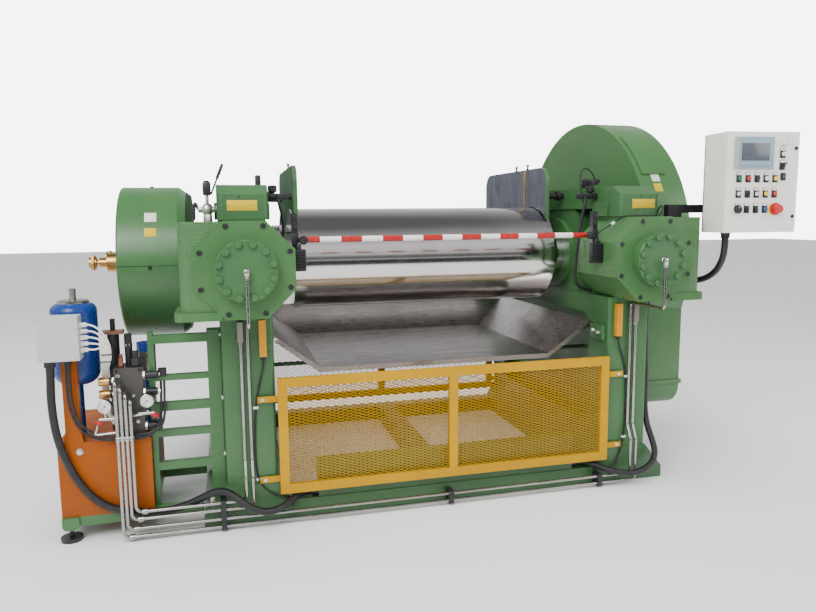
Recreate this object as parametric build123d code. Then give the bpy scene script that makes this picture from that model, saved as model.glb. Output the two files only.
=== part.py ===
from build123d import *
import math
import os

os.makedirs("parts", exist_ok=True)

# All sizes are in millimetres. X runs along the rolls, Y from front to back, Z up.
# The origin is on the floor, below the nip and midway between the side frames.

# Rolls
ROLL_D = 550
ROLL_FACE = 1500
NIP = 6
NIP_TRAVEL = 10
AXIS_Z = 1258
SHOULDER_D = 360
SHOULDER_LEN = 60
JOURNAL_D = 280
SHAFT_D = 130
EDGE_CHAMFER = 3

# Fits
RUN_GAP = 0.05
SEAT_GAP = 0.3

# Side frames
ROLL_END_ROOM = 147.5
FRAME_WIDTH = 245
FRAME_FRONT = 905
FRAME_REAR = 760
FOOT_REACH = 110
FOOT_INNER_REACH = 70
FOOT_EDGE_H = 65
FOOT_TOP_H = 200
FOOT_FRONT_STEP = 7
FOOT_INNER_R = 42
FRAME_CORNER_R = 16
WEB_DEPTH = 70
WEB_MARGIN = 210
WEB_BOTTOM = 290
WEB_TOP_MARGIN = 110
REAR_POST_TOP_GAP = 8

# Bearing chocks
CHOCK_HALF_LEN = 262
CHOCK_DROP = 218
CHOCK_RISE = 262
CHOCK_SIDE_GAP = 5
CHOCK_CHAMFER = 60
CHOCK_RING_D = 420
CHOCK_RING_T = 28
RAM_D = 166

# Nip cylinder housings
OCTAGON_HALF = 217
HOUSING_FRONT = 1120
HOUSING_BACK = 706
HOUSING_OUTER = 283
HOUSING_EAR_BACK = 830
HOUSING_TOP = 212
HOUSING_CORNER_R = 40
HOUSING_LIP = 27
HOUSING_LIP_H = 38
HOUSING_LIP_FRONT = 22
PLATE_T = 10
COVER_R = 136
COVER_T = 65
COVER_CHAMFER = 6
RAM_SOCKET_DEPTH = 150

# Caps over the frame windows
CAP_WIDTH = 230
CAP_FRONT = 977
CAP_H = 160
CAP_BEVEL_H = 46
CAP_BEVEL_LEN = 80
CAP_CORNER_R = 26
CAP_RIB_T = 12
CAP_RIB_H = 80
CAP_RIB_FRONT = 864
CAP_PAD_INSET = 14

# Base
BASE_RAIL_H = 95
BASE_RAIL_W = 110
BASE_TIE_W = 120
FASCIA_H = 190
FASCIA_T = 6
FASCIA_DEPTH = 58
FASCIA_END_GAP = 127.5
FASCIA_SET_BACK = 8

# Stock guides
GUIDE_INSET = 30
GUIDE_T = 22
GUIDE_FRONT = 477
GUIDE_BACK = 490
GUIDE_TOP = 507
GUIDE_CORNER_R = 90
GUIDE_CLEAR = 5
GUIDE_ROD_D = 34
GUIDE_ROD_Z = 1600
GUIDE_ROD_Y = 330

# Catch tray
TRAY_T = 4
TRAY_Z = 704
TRAY_RISE = 190
TRAY_SIDE_CLEAR = 6.5
TRAY_FRONT = 683
TRAY_FLOOR_BACK = 420
TRAY_SPREAD = 240
TRAY_LIP_H = 24
TRAY_FRONT_SPREAD = 55
TRAY_BACK_SPREAD = 170
TRAY_ARM_W = 50
TRAY_ARM_T = 12
TRAY_ARM_Y = 520

# Guards in front and behind
GUARD_END_GAP = 8.5
GUARD_BOTTOM = 144
GUARD_TOP = 721
GUARD_BAR = 46
GUARD_T = 25
GUARD_STAND_OFF = 12
GUARD_MESH_T = 3
TAB_REACH = 95
TAB_H = 30
TAB_T = 6
TAB_Z = (218, 619)

# Safety bar across the front
BAR_D = 28
BAR_Y = 918
BAR_Z = 1381
LEVER_T = 26
LEVER_W = 36
LEVER_TOP = 1505
LEVER_BOTTOM = 1245
LEVER_PIVOT_Z = 1290
LEVER_PIVOT_D = 16
LEVER_GAP = 6

# Connecting gear cover at the left
LEFT_COVER_R = 392
LEFT_COVER_GAP = 187.5
LEFT_COVER_LEN = 285
LEFT_COVER_TAPER = 37
LEFT_COVER_TAPER_R = 26
LEFT_NECK_R = 196
COVER_EDGE_R = 12
SHAFT_CLEAR = 8

# Bull gear cover at the right
RIGHT_COVER_GAP = 57.5
RIGHT_COVER_LEN = 280
RIGHT_COVER_R = 815
RIGHT_COVER_Y = 20
RIGHT_COVER_FRONT = 730
RIGHT_COVER_BACK = 770
RIGHT_COVER_BOTTOM = 350
RIGHT_COVER_SEAM = 500
RIGHT_CORNER_R = 130
RIGHT_NECK_R = 205
SUMP_LIP = 10
SUMP_LIP_H = 12
BRACKET_W = 160
BRACKET_H = 110
HATCH_INSET = 32
HATCH_W = 150
HATCH_T = 8
HATCH_FROM = 34
HATCH_TO = 58

# Rotary unions
UNION_FLANGE_D = 112
UNION_FLANGE_T = 34
UNION_BODY_D = 100
UNION_BODY_L = 50
UNION_PIPE_D = 52
UNION_PIPE_L = 40
UNION_NUT_D = 60
UNION_NUT_L = 34
UNION_NECK_D = 26
UNION_NECK_L = 16

# Control panel
PANEL_W = 400
PANEL_H = 500
PANEL_D = 190
PANEL_WALL = 3
PANEL_DOOR_T = 24
PANEL_TURN = -5
PANEL_ASIDE = 500
PANEL_AHEAD = 148
PANEL_BELOW_ARM = 102
SCREEN_W = 214
SCREEN_H = 158
SCREEN_T = 8
SCREEN_LEFT = 41
SCREEN_DROP = 26
BUTTON_PITCH = 50
BUTTON_ROW_PITCH = 76
BUTTON_ROWS = 3
BUTTON_COLUMNS = 5
BUTTON_LEFT = 72
BUTTON_DROP = 230
BUTTON_D = 30
BUTTON_T = 14
SIDE_COLUMN_GAP = 30
SIDE_COLUMN_DROP = 50
SIDE_COLUMN_PITCH = 55
STOP_ASIDE = 8
STOP_PLATE_D = 62
STOP_D = 42
STOP_T = 38
ARM_SIZE = 44
ARM_ASIDE = 178
ARM_Y = 950
ARM_FOOT_H = 22
ARM_FOOT_L = 80

# Hydraulic unit
TANK_GAP = 224.5
TANK_W = 404
TANK_D = 600
TANK_FRONT = 889
TANK_BOTTOM = 120
TANK_H = 351
SKID_H = 46
SKID_W = 60
FOOT_DISC_D = 96
FOOT_DISC_H = 18
FOOT_STEM_D = 20
FOOT_LUG_W = 74
FOOT_LUG_T = 12
FOOT_LUG_DROP = 14
FOOT_LUG_R = 22
POST_INSET = 40
POST_W = 65
POST_FLARE = 9
POST_FLARE_H = 60
POST_T = 35
POST_TOP = 870
TERMINAL_INSET = 55
TERMINAL_W = 168
TERMINAL_H = 196
TERMINAL_D = 90
ACC_D = 202
ACC_INSET = 83
ACC_BOTTOM = 720
ACC_TOP = 1103
ACC_CAP_D = 138
ACC_CAP_H = 12
ACC_PORT_D = 42
ACC_STEM_D = 30
ACC_STEM_H = 66
MANIFOLD_W = 124
MANIFOLD_D = 130
MANIFOLD_H = 336
MANIFOLD_INSET = 83
MOTOR_D = 90
MOTOR_INSET = 31
MOTOR_BACK = 289
MOTOR_H = 404
MOTOR_COWL_H = 42
MOTOR_FIN_H = 140
MOTOR_FIN_T = 4
MOTOR_FINS = 16
MOTOR_CORE_D = 76
MOTOR_FLANGE_D = 120
MOTOR_FLANGE_T = 14
FILTER_D = 54
FILTER_ASIDE = 82
FILTER_BACK = 189
FILTER_H = 470
FILTER_HEAD_W = 96
FILTER_HEAD_D = 60
FILTER_HEAD_T = 16
BREATHER_D = 24
BREATHER_H = 56

# Valves and gauges on the manifold block
COIL_D = 36
COIL_LEN = 62
COIL_SET_BACK = 19
LEFT_COIL_DROP = (62, 121)
RIGHT_COIL_DROP = (41, 121, 282)
RELIEF_D = 34
RELIEF_H = 150
GAUGE_D = 60
GAUGE_T = 30
LEFT_GAUGE = (101, 162)
RIGHT_GAUGE = (80, 148)
GAUGE_STEM_D = 12
GAUGE_STEM_H = 32
GAUGE_VALVE_D = 16
GAUGE_VALVE_REACH = 28
GAUGE_STAND_OFF = 36

# Pipes
PIPE_D = 16
PIPE_STAND_OFF = 57
PIPE_Z = (24, 62, 107, 142)
RISER_ASIDE = 50
RISER_PITCH = 20
RISER_DROP = 42
RISER_STEP = 30
PIPE_BEND_R = 28
PIPE_NUT_D = 28
PIPE_NUT_L = 22
COLUMN_PIPE_STAND_OFF = 9
COLUMN_PIPE_PITCH = 33
COLUMN_PIPE_Z = 330
JOG_Z = 250
COVER_PIPE_OUT = 24
COVER_PIPE_BEND_R = 20
COVER_PIPE_DROP = 26
CLAMP_X = (-1161, -23, 832)
CLAMP_FRONT = 14
CLAMP_W = 26

# Switches on the columns
SWITCH_W = 34
SWITCH_D = 28
SWITCH_H = 176
SWITCH_Z = 830
SWITCH_INSET = 35
PRESSURE_W = 26
PRESSURE_H = 96
PRESSURE_Z = 905

# Hoses that hang and lie free
MOTOR_HOSE_D = 36
PANEL_HOSE_D = 34
BEND_SHARE = 0.45
GLAND_ACROSS = 1.3
GLAND_H = 30
DUCT_HOSE_Z = 120
EXIT_RUN = 44
MOTOR_HOSE_ASIDE = -48
PANEL_HOSE_ASIDE = -128
PANEL_HOSE_BACK = 87

# Service rack beside the left frame
RACK_POST_W = 62
RACK_POST_D = 80
RACK_POST_GAP = 3.5
RACK_TOP = 960
RAIL_W = 40
RACK_UPRIGHT_GAP = 3
RACK_UPRIGHT_W = 24
RAILS = ((310, 36), (470, 32), (600, 40), (740, 26), (925, 40))
RACK_Y = 850

# Worked out sizes
ROLL_R = ROLL_D / 2
AXIS_Y = ROLL_R + NIP / 2
ROLL_HALF = ROLL_FACE / 2
FRAME_IN = ROLL_HALF + ROLL_END_ROOM
FRAME_OUT = FRAME_IN + FRAME_WIDTH
FRAME_X = (FRAME_IN + FRAME_OUT) / 2
FLOOR_Z = AXIS_Z - CHOCK_DROP - SEAT_GAP
CHOCK_FACE_IN = AXIS_Y - CHOCK_HALF_LEN
CHOCK_FACE_OUT = AXIS_Y + CHOCK_HALF_LEN
HOUSING_TOP_Z = AXIS_Z + HOUSING_TOP
CAP_Z = HOUSING_TOP_Z + REAR_POST_TOP_GAP
FOOT_OUT = FRAME_OUT + FOOT_REACH
FOOT_IN = FRAME_IN - FOOT_INNER_REACH
FASCIA_HALF = FOOT_IN - FASCIA_END_GAP
CHOCK_X0 = FRAME_IN + CHOCK_SIDE_GAP
CHOCK_X1 = FRAME_OUT - CHOCK_SIDE_GAP
GUIDE_X = ROLL_HALF - GUIDE_INSET
TRAY_FLOOR_HALF = FRAME_IN - TRAY_SIDE_CLEAR - TRAY_SPREAD
GUARD_HALF = FRAME_IN - GUARD_END_GAP
LEFT_COVER_IN = FRAME_OUT + LEFT_COVER_GAP
LEFT_COVER_OUT = LEFT_COVER_IN + LEFT_COVER_LEN
RIGHT_COVER_IN = FRAME_OUT + RIGHT_COVER_GAP
RIGHT_COVER_OUT = RIGHT_COVER_IN + RIGHT_COVER_LEN
COVER_FRONT = HOUSING_FRONT + PLATE_T + COVER_T
ARM_X = FRAME_X + ARM_ASIDE
ARM_Z = HOUSING_TOP_Z + ARM_FOOT_H
PANEL_X = FRAME_X + PANEL_ASIDE
PANEL_Y = -HOUSING_FRONT - PANEL_AHEAD
PANEL_Z = ARM_Z - PANEL_BELOW_ARM
TANK_X = -FOOT_OUT - TANK_GAP - TANK_W
TANK_TOP = TANK_BOTTOM + TANK_H
ACC_X = TANK_X + ACC_INSET
ACC_Y = -TANK_FRONT + POST_T + ACC_D / 2 + SEAT_GAP
MANIFOLD_X = TANK_X + TANK_W - MANIFOLD_INSET
MANIFOLD_TOP = TANK_TOP + MANIFOLD_H
MOTOR_X = TANK_X + TANK_W - MOTOR_INSET
FILTER_X = MANIFOLD_X - FILTER_ASIDE
PIPE_Y = FRAME_FRONT + PIPE_STAND_OFF
COLUMN_PIPE_Y = FRAME_FRONT + COLUMN_PIPE_STAND_OFF + PIPE_D / 2
RISER_X = MANIFOLD_X - RISER_ASIDE
RACK_POST_X = -FRAME_OUT - RACK_POST_GAP - RACK_POST_W / 2
COLUMN_PIPE_X = (
    FRAME_X + COLUMN_PIPE_PITCH,
    FRAME_X,
    -FRAME_X,
    -FRAME_X - COLUMN_PIPE_PITCH,
)
DUCT_END = FASCIA_HALF + GLAND_H
DUCT_HOSE_Y = -FRAME_FRONT + FASCIA_SET_BACK + FASCIA_DEPTH / 2


def block(x0, x1, y0, y1, z0, z1):
    """Box between two corners."""
    size = (abs(x1 - x0), abs(y1 - y0), abs(z1 - z0))
    centre = ((x0 + x1) / 2, (y0 + y1) / 2, (z0 + z1) / 2)
    return Pos(*centre) * Box(*size)


def rod_x(x0, x1, y, z, diameter):
    """Round bar along X."""
    return Pos((x0 + x1) / 2, y, z) * Rot(0, 90, 0) * Cylinder(diameter / 2, abs(x1 - x0))


def rod_y(x, y0, y1, z, diameter):
    """Round bar along Y."""
    return Pos(x, (y0 + y1) / 2, z) * Rot(90, 0, 0) * Cylinder(diameter / 2, abs(y1 - y0))


def rod_z(x, y, z0, z1, diameter):
    """Round bar along Z."""
    return Pos(x, y, (z0 + z1) / 2) * Cylinder(diameter / 2, abs(z1 - z0))


def side_prism(points, x0, x1):
    """Outline of (y, z) points, carried from x0 to x1."""
    face = make_face(Polyline(*[(0, y, z) for y, z in points], close=True))
    return Pos(min(x0, x1), 0, 0) * extrude(face, amount=abs(x1 - x0), dir=(1, 0, 0))


def front_prism(points, y0, y1):
    """Outline of (x, z) points, carried from y0 to y1."""
    face = make_face(Polyline(*[(x, 0, z) for x, z in points], close=True))
    return Pos(0, min(y0, y1), 0) * extrude(face, amount=abs(y1 - y0), dir=(0, 1, 0))


def turned_x(points, y, z):
    """Outline of (x, radius) points, turned about an axis along X."""
    face = make_face(Polyline(*[(x, r, 0) for x, r in points], close=True))
    return Pos(0, y, z) * revolve(face, Axis.X)


def stadium_x(radius, half_span, x0, x1):
    """Round-ended bar shape about both roll axes, carried from x0 to x1."""
    left = rod_x(x0, x1, -half_span, AXIS_Z, 2 * radius)
    right = rod_x(x0, x1, half_span, AXIS_Z, 2 * radius)
    middle = block(x0, x1, -half_span, half_span, AXIS_Z - radius, AXIS_Z + radius)
    return left + right + middle


def left_of(shape):
    """Mirror image on the left side."""
    return mirror(shape, about=Plane.YZ)


def save(name, shape):
    solids = shape.solids()
    out = solids[0] if len(solids) == 1 else Compound(children=list(solids))
    out.label = name
    export_step(out, f"parts/{name}.step")


# Rolls

def roll(y, left_end, right_end):
    """Roll body, shoulders and journals in one forging, with a stub shaft at each end."""
    shoulder = ROLL_HALF + SHOULDER_LEN
    radius, journal, shaft = ROLL_R, JOURNAL_D / 2, SHAFT_D / 2
    half = [
        (ROLL_HALF - EDGE_CHAMFER, radius),
        (ROLL_HALF, radius - EDGE_CHAMFER),
        (ROLL_HALF, SHOULDER_D / 2),
        (shoulder, SHOULDER_D / 2),
        (shoulder, journal),
        (FRAME_OUT, journal),
        (FRAME_OUT, shaft),
    ]
    right = half + [(right_end, shaft), (right_end, 0)]
    left = [(-x, r) for x, r in half] + [(-left_end, shaft), (-left_end, 0)]
    return turned_x(left[::-1] + right, y, AXIS_Z)


# Bearing chocks

def chock(y):
    """Bearing block with chamfered corners and a round seal ring facing the roll."""
    low, high = AXIS_Z - CHOCK_DROP, AXIS_Z + CHOCK_RISE
    cut = CHOCK_CHAMFER
    outline = [
        (y - CHOCK_HALF_LEN, low),
        (y + CHOCK_HALF_LEN, low),
        (y + CHOCK_HALF_LEN, high - cut),
        (y + CHOCK_HALF_LEN - cut, high),
        (y - CHOCK_HALF_LEN + cut, high),
        (y - CHOCK_HALF_LEN, high - cut),
    ]
    body = side_prism(outline, CHOCK_X0, CHOCK_X1)
    ring = rod_x(CHOCK_X0 - CHOCK_RING_T, CHOCK_X0, y, AXIS_Z, CHOCK_RING_D)
    bore = rod_x(0, FRAME_OUT + CHOCK_RING_T, y, AXIS_Z, JOURNAL_D + 2 * RUN_GAP)
    return body + ring - bore


def ram():
    """Piston rod end between a nip cylinder and its chock."""
    inner = -HOUSING_BACK - RAM_SOCKET_DEPTH + NIP_TRAVEL + CHOCK_SIDE_GAP
    return rod_y(FRAME_X, inner, -CHOCK_FACE_OUT, AXIS_Z, RAM_D)


# Side frames

def frame_foot():
    """Flared foot of a side frame."""
    outline = [
        (FOOT_IN, 0),
        (FOOT_OUT, 0),
        (FOOT_OUT, FOOT_EDGE_H),
        (FRAME_OUT, FOOT_TOP_H),
        (FRAME_IN, FOOT_TOP_H),
        (FOOT_IN, FOOT_EDGE_H),
    ]
    foot = front_prism(outline, -FRAME_FRONT - FOOT_FRONT_STEP, FRAME_REAR + FOOT_FRONT_STEP)
    inner_edge = foot.edges().filter_by(Axis.Y).group_by(Axis.X)[0].group_by(Axis.Z)[-1]
    return fillet(inner_edge, FOOT_INNER_R)


def side_frame():
    """Cast frame: front column, web, window floor and rear post, on a flared foot."""
    post_front = CHOCK_FACE_OUT + SEAT_GAP
    outline = [
        (-FRAME_FRONT, 0),
        (FRAME_REAR, 0),
        (FRAME_REAR, CAP_Z),
        (post_front, CAP_Z),
        (post_front, FLOOR_Z),
        (-FRAME_FRONT, FLOOR_Z),
    ]
    body = side_prism(outline, FRAME_IN, FRAME_OUT)
    body = fillet(body.edges().filter_by(Axis.Z).group_by(Axis.Y)[0], FRAME_CORNER_R)
    pocket = (-FRAME_FRONT + WEB_MARGIN, FRAME_REAR - WEB_MARGIN, WEB_BOTTOM, FLOOR_Z - WEB_TOP_MARGIN)
    inner = block(FRAME_IN, FRAME_IN + WEB_DEPTH, *pocket)
    outer = block(FRAME_OUT - WEB_DEPTH, FRAME_OUT, *pocket)
    inner = fillet(inner.edges().filter_by(Axis.X), WEB_DEPTH)
    outer = fillet(outer.edges().filter_by(Axis.X), WEB_DEPTH)
    return body + frame_foot() - inner - outer


def cylinder_housing():
    """Head casting for the nip cylinder: octagonal towards the rolls, square outside."""
    across = OCTAGON_HALF / math.cos(math.pi / 8)
    turns = [math.radians(22.5 + 45 * i) for i in range(8)]
    points = [(FRAME_X + across * math.cos(turn), AXIS_Z + across * math.sin(turn)) for turn in turns]
    octagon = front_prism(points, -HOUSING_FRONT - PLATE_T, -HOUSING_BACK)
    low = FLOOR_Z
    out = FRAME_X + HOUSING_OUTER
    square = block(FRAME_X, out, -HOUSING_FRONT, -HOUSING_EAR_BACK, low, HOUSING_TOP_Z)
    corner = square.edges().filter_by(Axis.Z).group_by(Axis.X)[-1]
    square = fillet(corner, HOUSING_CORNER_R)
    square += block(FRAME_X, FRAME_OUT, -HOUSING_FRONT, -HOUSING_BACK, low, HOUSING_TOP_Z)
    lip = block(
        FRAME_X + OCTAGON_HALF / 2, out + HOUSING_LIP,
        -HOUSING_FRONT - PLATE_T, -HOUSING_EAR_BACK, low, low + HOUSING_LIP_H)
    lip = fillet(lip.edges().filter_by(Axis.Z).group_by(Axis.X)[-1], HOUSING_CORNER_R)
    pad = block(
        FRAME_X - CAP_WIDTH / 2 + CAP_PAD_INSET, FRAME_X + CAP_WIDTH / 2 - CAP_PAD_INSET,
        -CAP_FRONT + CAP_PAD_INSET, -HOUSING_BACK, AXIS_Z, CAP_Z)
    below = block(FRAME_X - 2 * OCTAGON_HALF, out + 2 * HOUSING_LIP, -2 * HOUSING_FRONT, 0, 0, FLOOR_Z)
    socket = rod_y(FRAME_X, -HOUSING_BACK - RAM_SOCKET_DEPTH, -HOUSING_BACK, AXIS_Z, RAM_D + 2 * SEAT_GAP)
    behind = block(FRAME_OUT, 2 * FRAME_OUT, -HOUSING_EAR_BACK, 0, 0, 2 * AXIS_Z)
    body = octagon + square + lip + pad
    return body - below - behind - socket


def cylinder_cover():
    """Round end cover of a nip cylinder."""
    front = -HOUSING_FRONT - PLATE_T - COVER_T
    disc = rod_y(FRAME_X, front, -HOUSING_FRONT - PLATE_T, AXIS_Z, 2 * COVER_R)
    return chamfer(disc.edges().group_by(Axis.Y)[0], COVER_CHAMFER)


def cap():
    """Cap casting that closes a frame window, bevelled at the front."""
    top = CAP_Z + CAP_H
    bevel = top - CAP_BEVEL_H
    outline = [
        (-CAP_FRONT, CAP_Z),
        (FRAME_REAR, CAP_Z),
        (FRAME_REAR, top),
        (-CAP_FRONT + CAP_BEVEL_LEN, top),
        (-CAP_FRONT, bevel),
    ]
    half = CAP_WIDTH / 2
    body = side_prism(outline, FRAME_X - half, FRAME_X + half)
    body = fillet(body.edges().filter_by(Axis.Z).group_by(Axis.Y)[0], CAP_CORNER_R)
    reach = half + CAP_RIB_T
    rib = block(FRAME_X - reach, FRAME_X + reach, -CAP_RIB_FRONT, FRAME_REAR, CAP_Z, CAP_Z + CAP_RIB_H)
    rib = fillet(rib.edges().filter_by(Axis.X).group_by(Axis.Y)[0].group_by(Axis.Z)[-1], CAP_CORNER_R)
    arch_top = AXIS_Z + CHOCK_RISE + SEAT_GAP
    arch = block(
        FRAME_X - 2 * half, FRAME_X + 2 * half,
        -HOUSING_BACK, CHOCK_FACE_OUT + SEAT_GAP, CAP_Z - CAP_H, arch_top)
    return body + rib - arch


# Base

def base_rail(y0, y1):
    """Sill between the feet of the two side frames."""
    return block(-FOOT_IN, FOOT_IN, y0, y1, 0, BASE_RAIL_H)


def fascia():
    """Folded sheet duct between the feet, behind the foot of the guard, open at its back and below."""
    y0 = -FRAME_FRONT + FASCIA_SET_BACK
    y1 = y0 + FASCIA_DEPTH
    top = BASE_RAIL_H + FASCIA_H
    outer = block(-FASCIA_HALF, FASCIA_HALF, y0, y1, BASE_RAIL_H, top)
    inner = block(-FASCIA_HALF + FASCIA_T, FASCIA_HALF - FASCIA_T, y0 + FASCIA_T, y1, BASE_RAIL_H, top - FASCIA_T)
    return outer - inner


# Stock guides and tray

def stock_guide():
    """Upright end plate that rides over both rolls, with its top corners rounded."""
    bottom = AXIS_Z
    plate = block(GUIDE_X, GUIDE_X + GUIDE_T, -GUIDE_FRONT, GUIDE_BACK, bottom, AXIS_Z + GUIDE_TOP)
    top = plate.edges().filter_by(Axis.X).group_by(Axis.Z)[-1]
    plate = fillet(top, GUIDE_CORNER_R)
    for y in (-AXIS_Y, -AXIS_Y - NIP_TRAVEL, AXIS_Y):
        plate -= rod_x(0, 2 * GUIDE_X, y, AXIS_Z, ROLL_D + 2 * GUIDE_CLEAR)
    return plate


def guide_rods():
    """Round bars that carry a stock guide from the cap beside it."""
    reach = FRAME_X - CAP_WIDTH / 2
    front = rod_x(GUIDE_X + GUIDE_T, reach, -GUIDE_ROD_Y, GUIDE_ROD_Z, GUIDE_ROD_D)
    back = rod_x(GUIDE_X + GUIDE_T, reach, GUIDE_ROD_Y, GUIDE_ROD_Z, GUIDE_ROD_D)
    return front + back


def tray_block(inset, front, z0):
    """Solid between the tray's floor rectangle and its wider top rectangle."""
    half0 = TRAY_FLOOR_HALF - inset
    half1 = TRAY_FLOOR_HALF + TRAY_SPREAD - inset
    back0 = TRAY_FLOOR_BACK - inset
    back1 = TRAY_FLOOR_BACK + TRAY_BACK_SPREAD - inset
    low = [(-half0, -front), (half0, -front), (half0, back0), (-half0, back0)]
    high_front = front + TRAY_FRONT_SPREAD
    high = [(-half1, -high_front), (half1, -high_front), (half1, back1), (-half1, back1)]
    bottom = make_face(Polyline(*[(x, y, z0) for x, y in low], close=True))
    top = make_face(Polyline(*[(x, y, z0 + TRAY_RISE) for x, y in high], close=True))
    return loft([bottom, top], ruled=True)


def catch_tray():
    """Sheet tray under the rolls: flat floor, flared wings and back, open front with a turned-down lip."""
    outer = tray_block(0, TRAY_FRONT, TRAY_Z)
    inner = tray_block(TRAY_T, TRAY_FRONT + TRAY_FRONT, TRAY_Z + TRAY_T)
    lean = TRAY_LIP_H * TRAY_FRONT_SPREAD / TRAY_RISE
    lowered = Pos(0, lean, -TRAY_LIP_H) * outer
    lip = lowered - Pos(0, TRAY_T, 0) * lowered - outer
    return outer - inner + lip


def tray_arms():
    """Flat arms that carry the tray from the inner faces of the side frames."""
    parts = []
    for y in (-TRAY_ARM_Y, TRAY_FLOOR_BACK - TRAY_ARM_W):
        reach = FRAME_IN + WEB_DEPTH
        arm = block(-reach, reach, y, y + TRAY_ARM_W, TRAY_Z - TRAY_ARM_T, TRAY_Z)
        parts.append(arm)
    return parts[0] + parts[1]


# Guards

def guard_frame(face, sign):
    """Welded bar frame of a guard with bolt tabs; face is the frame's outer y."""
    y0 = sign * (face + GUARD_STAND_OFF)
    y1 = sign * (face + GUARD_STAND_OFF + GUARD_T)
    outer = block(-GUARD_HALF, GUARD_HALF, y0, y1, GUARD_BOTTOM, GUARD_TOP)
    mid = GUARD_BAR / 2
    window_z = (GUARD_BOTTOM + GUARD_BAR, GUARD_TOP - GUARD_BAR)
    for x0, x1 in ((-GUARD_HALF + GUARD_BAR, -mid), (mid, GUARD_HALF - GUARD_BAR)):
        outer -= block(x0, x1, y0, y1, *window_z)
    for side in (-1, 1):
        for z in TAB_Z:
            x0 = side * (GUARD_HALF - GUARD_BAR / 2)
            x1 = side * (GUARD_HALF + TAB_REACH)
            y2 = sign * (face + GUARD_STAND_OFF + TAB_T)
            outer += block(x0, x1, y0, y2, z - TAB_H / 2, z + TAB_H / 2)
            outer += rod_y(side * (GUARD_HALF + TAB_REACH * 0.75), sign * face, y0, z, TAB_H * 0.8)
    return outer


def guard_mesh(face, sign):
    """Thin sheet in each of a guard's two windows, in place of expanded metal."""
    y = sign * (face + GUARD_STAND_OFF + GUARD_T / 2)
    mid = GUARD_BAR / 2
    panes = []
    for x0, x1 in ((-GUARD_HALF + GUARD_BAR, -mid), (mid, GUARD_HALF - GUARD_BAR)):
        panes.append(block(
            x0, x1, y - GUARD_MESH_T / 2, y + GUARD_MESH_T / 2,
            GUARD_BOTTOM + GUARD_BAR, GUARD_TOP - GUARD_BAR))
    return panes


# Safety bar

def lever():
    """Upright lever that carries one end of the safety bar."""
    outer = FRAME_X - OCTAGON_HALF - LEVER_GAP
    body = block(
        outer - LEVER_T, outer, -BAR_Y - LEVER_W / 2, -BAR_Y + LEVER_W / 2,
        LEVER_BOTTOM, LEVER_TOP)
    pin_hole = rod_x(outer - LEVER_T, outer, -BAR_Y, LEVER_PIVOT_Z, LEVER_PIVOT_D + 2 * RUN_GAP)
    return body - pin_hole


def lever_pin():
    """Pivot pin that stands out of a cylinder housing."""
    inner = FRAME_X - OCTAGON_HALF
    return rod_x(inner - LEVER_GAP - LEVER_T, inner, -BAR_Y, LEVER_PIVOT_Z, LEVER_PIVOT_D)


def safety_bar():
    """Round bar across the front of the rolls, between its two levers."""
    reach = FRAME_X - OCTAGON_HALF - LEVER_GAP - LEVER_T
    return rod_x(-reach, reach, -BAR_Y, BAR_Z, BAR_D)


# Gear covers

def left_gear_cover():
    """Sheet cover over the connecting gears, with a tapered inner end and a neck."""
    drum = stadium_x(LEFT_COVER_R, AXIS_Y, -LEFT_COVER_OUT, -LEFT_COVER_IN)
    end = drum.edges().group_by(Axis.X)[0]
    drum = fillet(end, COVER_EDGE_R)
    taper_in = -LEFT_COVER_IN + LEFT_COVER_TAPER
    wide = stadium_x(LEFT_COVER_R, AXIS_Y, -LEFT_COVER_IN - 1, -LEFT_COVER_IN).faces().sort_by(Axis.X)[-1]
    narrow_r = LEFT_COVER_R - LEFT_COVER_TAPER_R
    narrow = stadium_x(narrow_r, AXIS_Y, taper_in - 1, taper_in).faces().sort_by(Axis.X)[-1]
    taper = loft([wide, narrow], ruled=True)
    neck = stadium_x(LEFT_NECK_R, AXIS_Y, taper_in, -FRAME_OUT)
    cover = drum + taper + neck
    reach = 2 * LEFT_COVER_OUT
    clear_d = SHAFT_D + 2 * SHAFT_CLEAR
    back_hole = rod_x(-reach, -FRAME_OUT, AXIS_Y, AXIS_Z, clear_d)
    front_hole = rod_x(-reach, -FRAME_OUT, -AXIS_Y, AXIS_Z, clear_d)
    slot_end = rod_x(-reach, -FRAME_OUT, -AXIS_Y - NIP_TRAVEL, AXIS_Z, clear_d)
    slot_mid = block(
        -reach, -FRAME_OUT, -AXIS_Y - NIP_TRAVEL, -AXIS_Y,
        AXIS_Z - clear_d / 2, AXIS_Z + clear_d / 2)
    return cover - back_hole - front_hole - slot_end - slot_mid


def bull_outline(grow, x0, x1):
    """Round top and straight lower limb of the bull gear cover."""
    radius = RIGHT_COVER_R + grow
    disc = rod_x(x0, x1, RIGHT_COVER_Y, AXIS_Z, 2 * radius)
    limb = block(
        x0, x1, -RIGHT_COVER_FRONT - grow, RIGHT_COVER_BACK + grow,
        RIGHT_COVER_BOTTOM - grow, AXIS_Z)
    low = limb.edges().filter_by(Axis.X).group_by(Axis.Z)[0]
    limb = fillet(low, RIGHT_CORNER_R)
    return disc + limb


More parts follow.
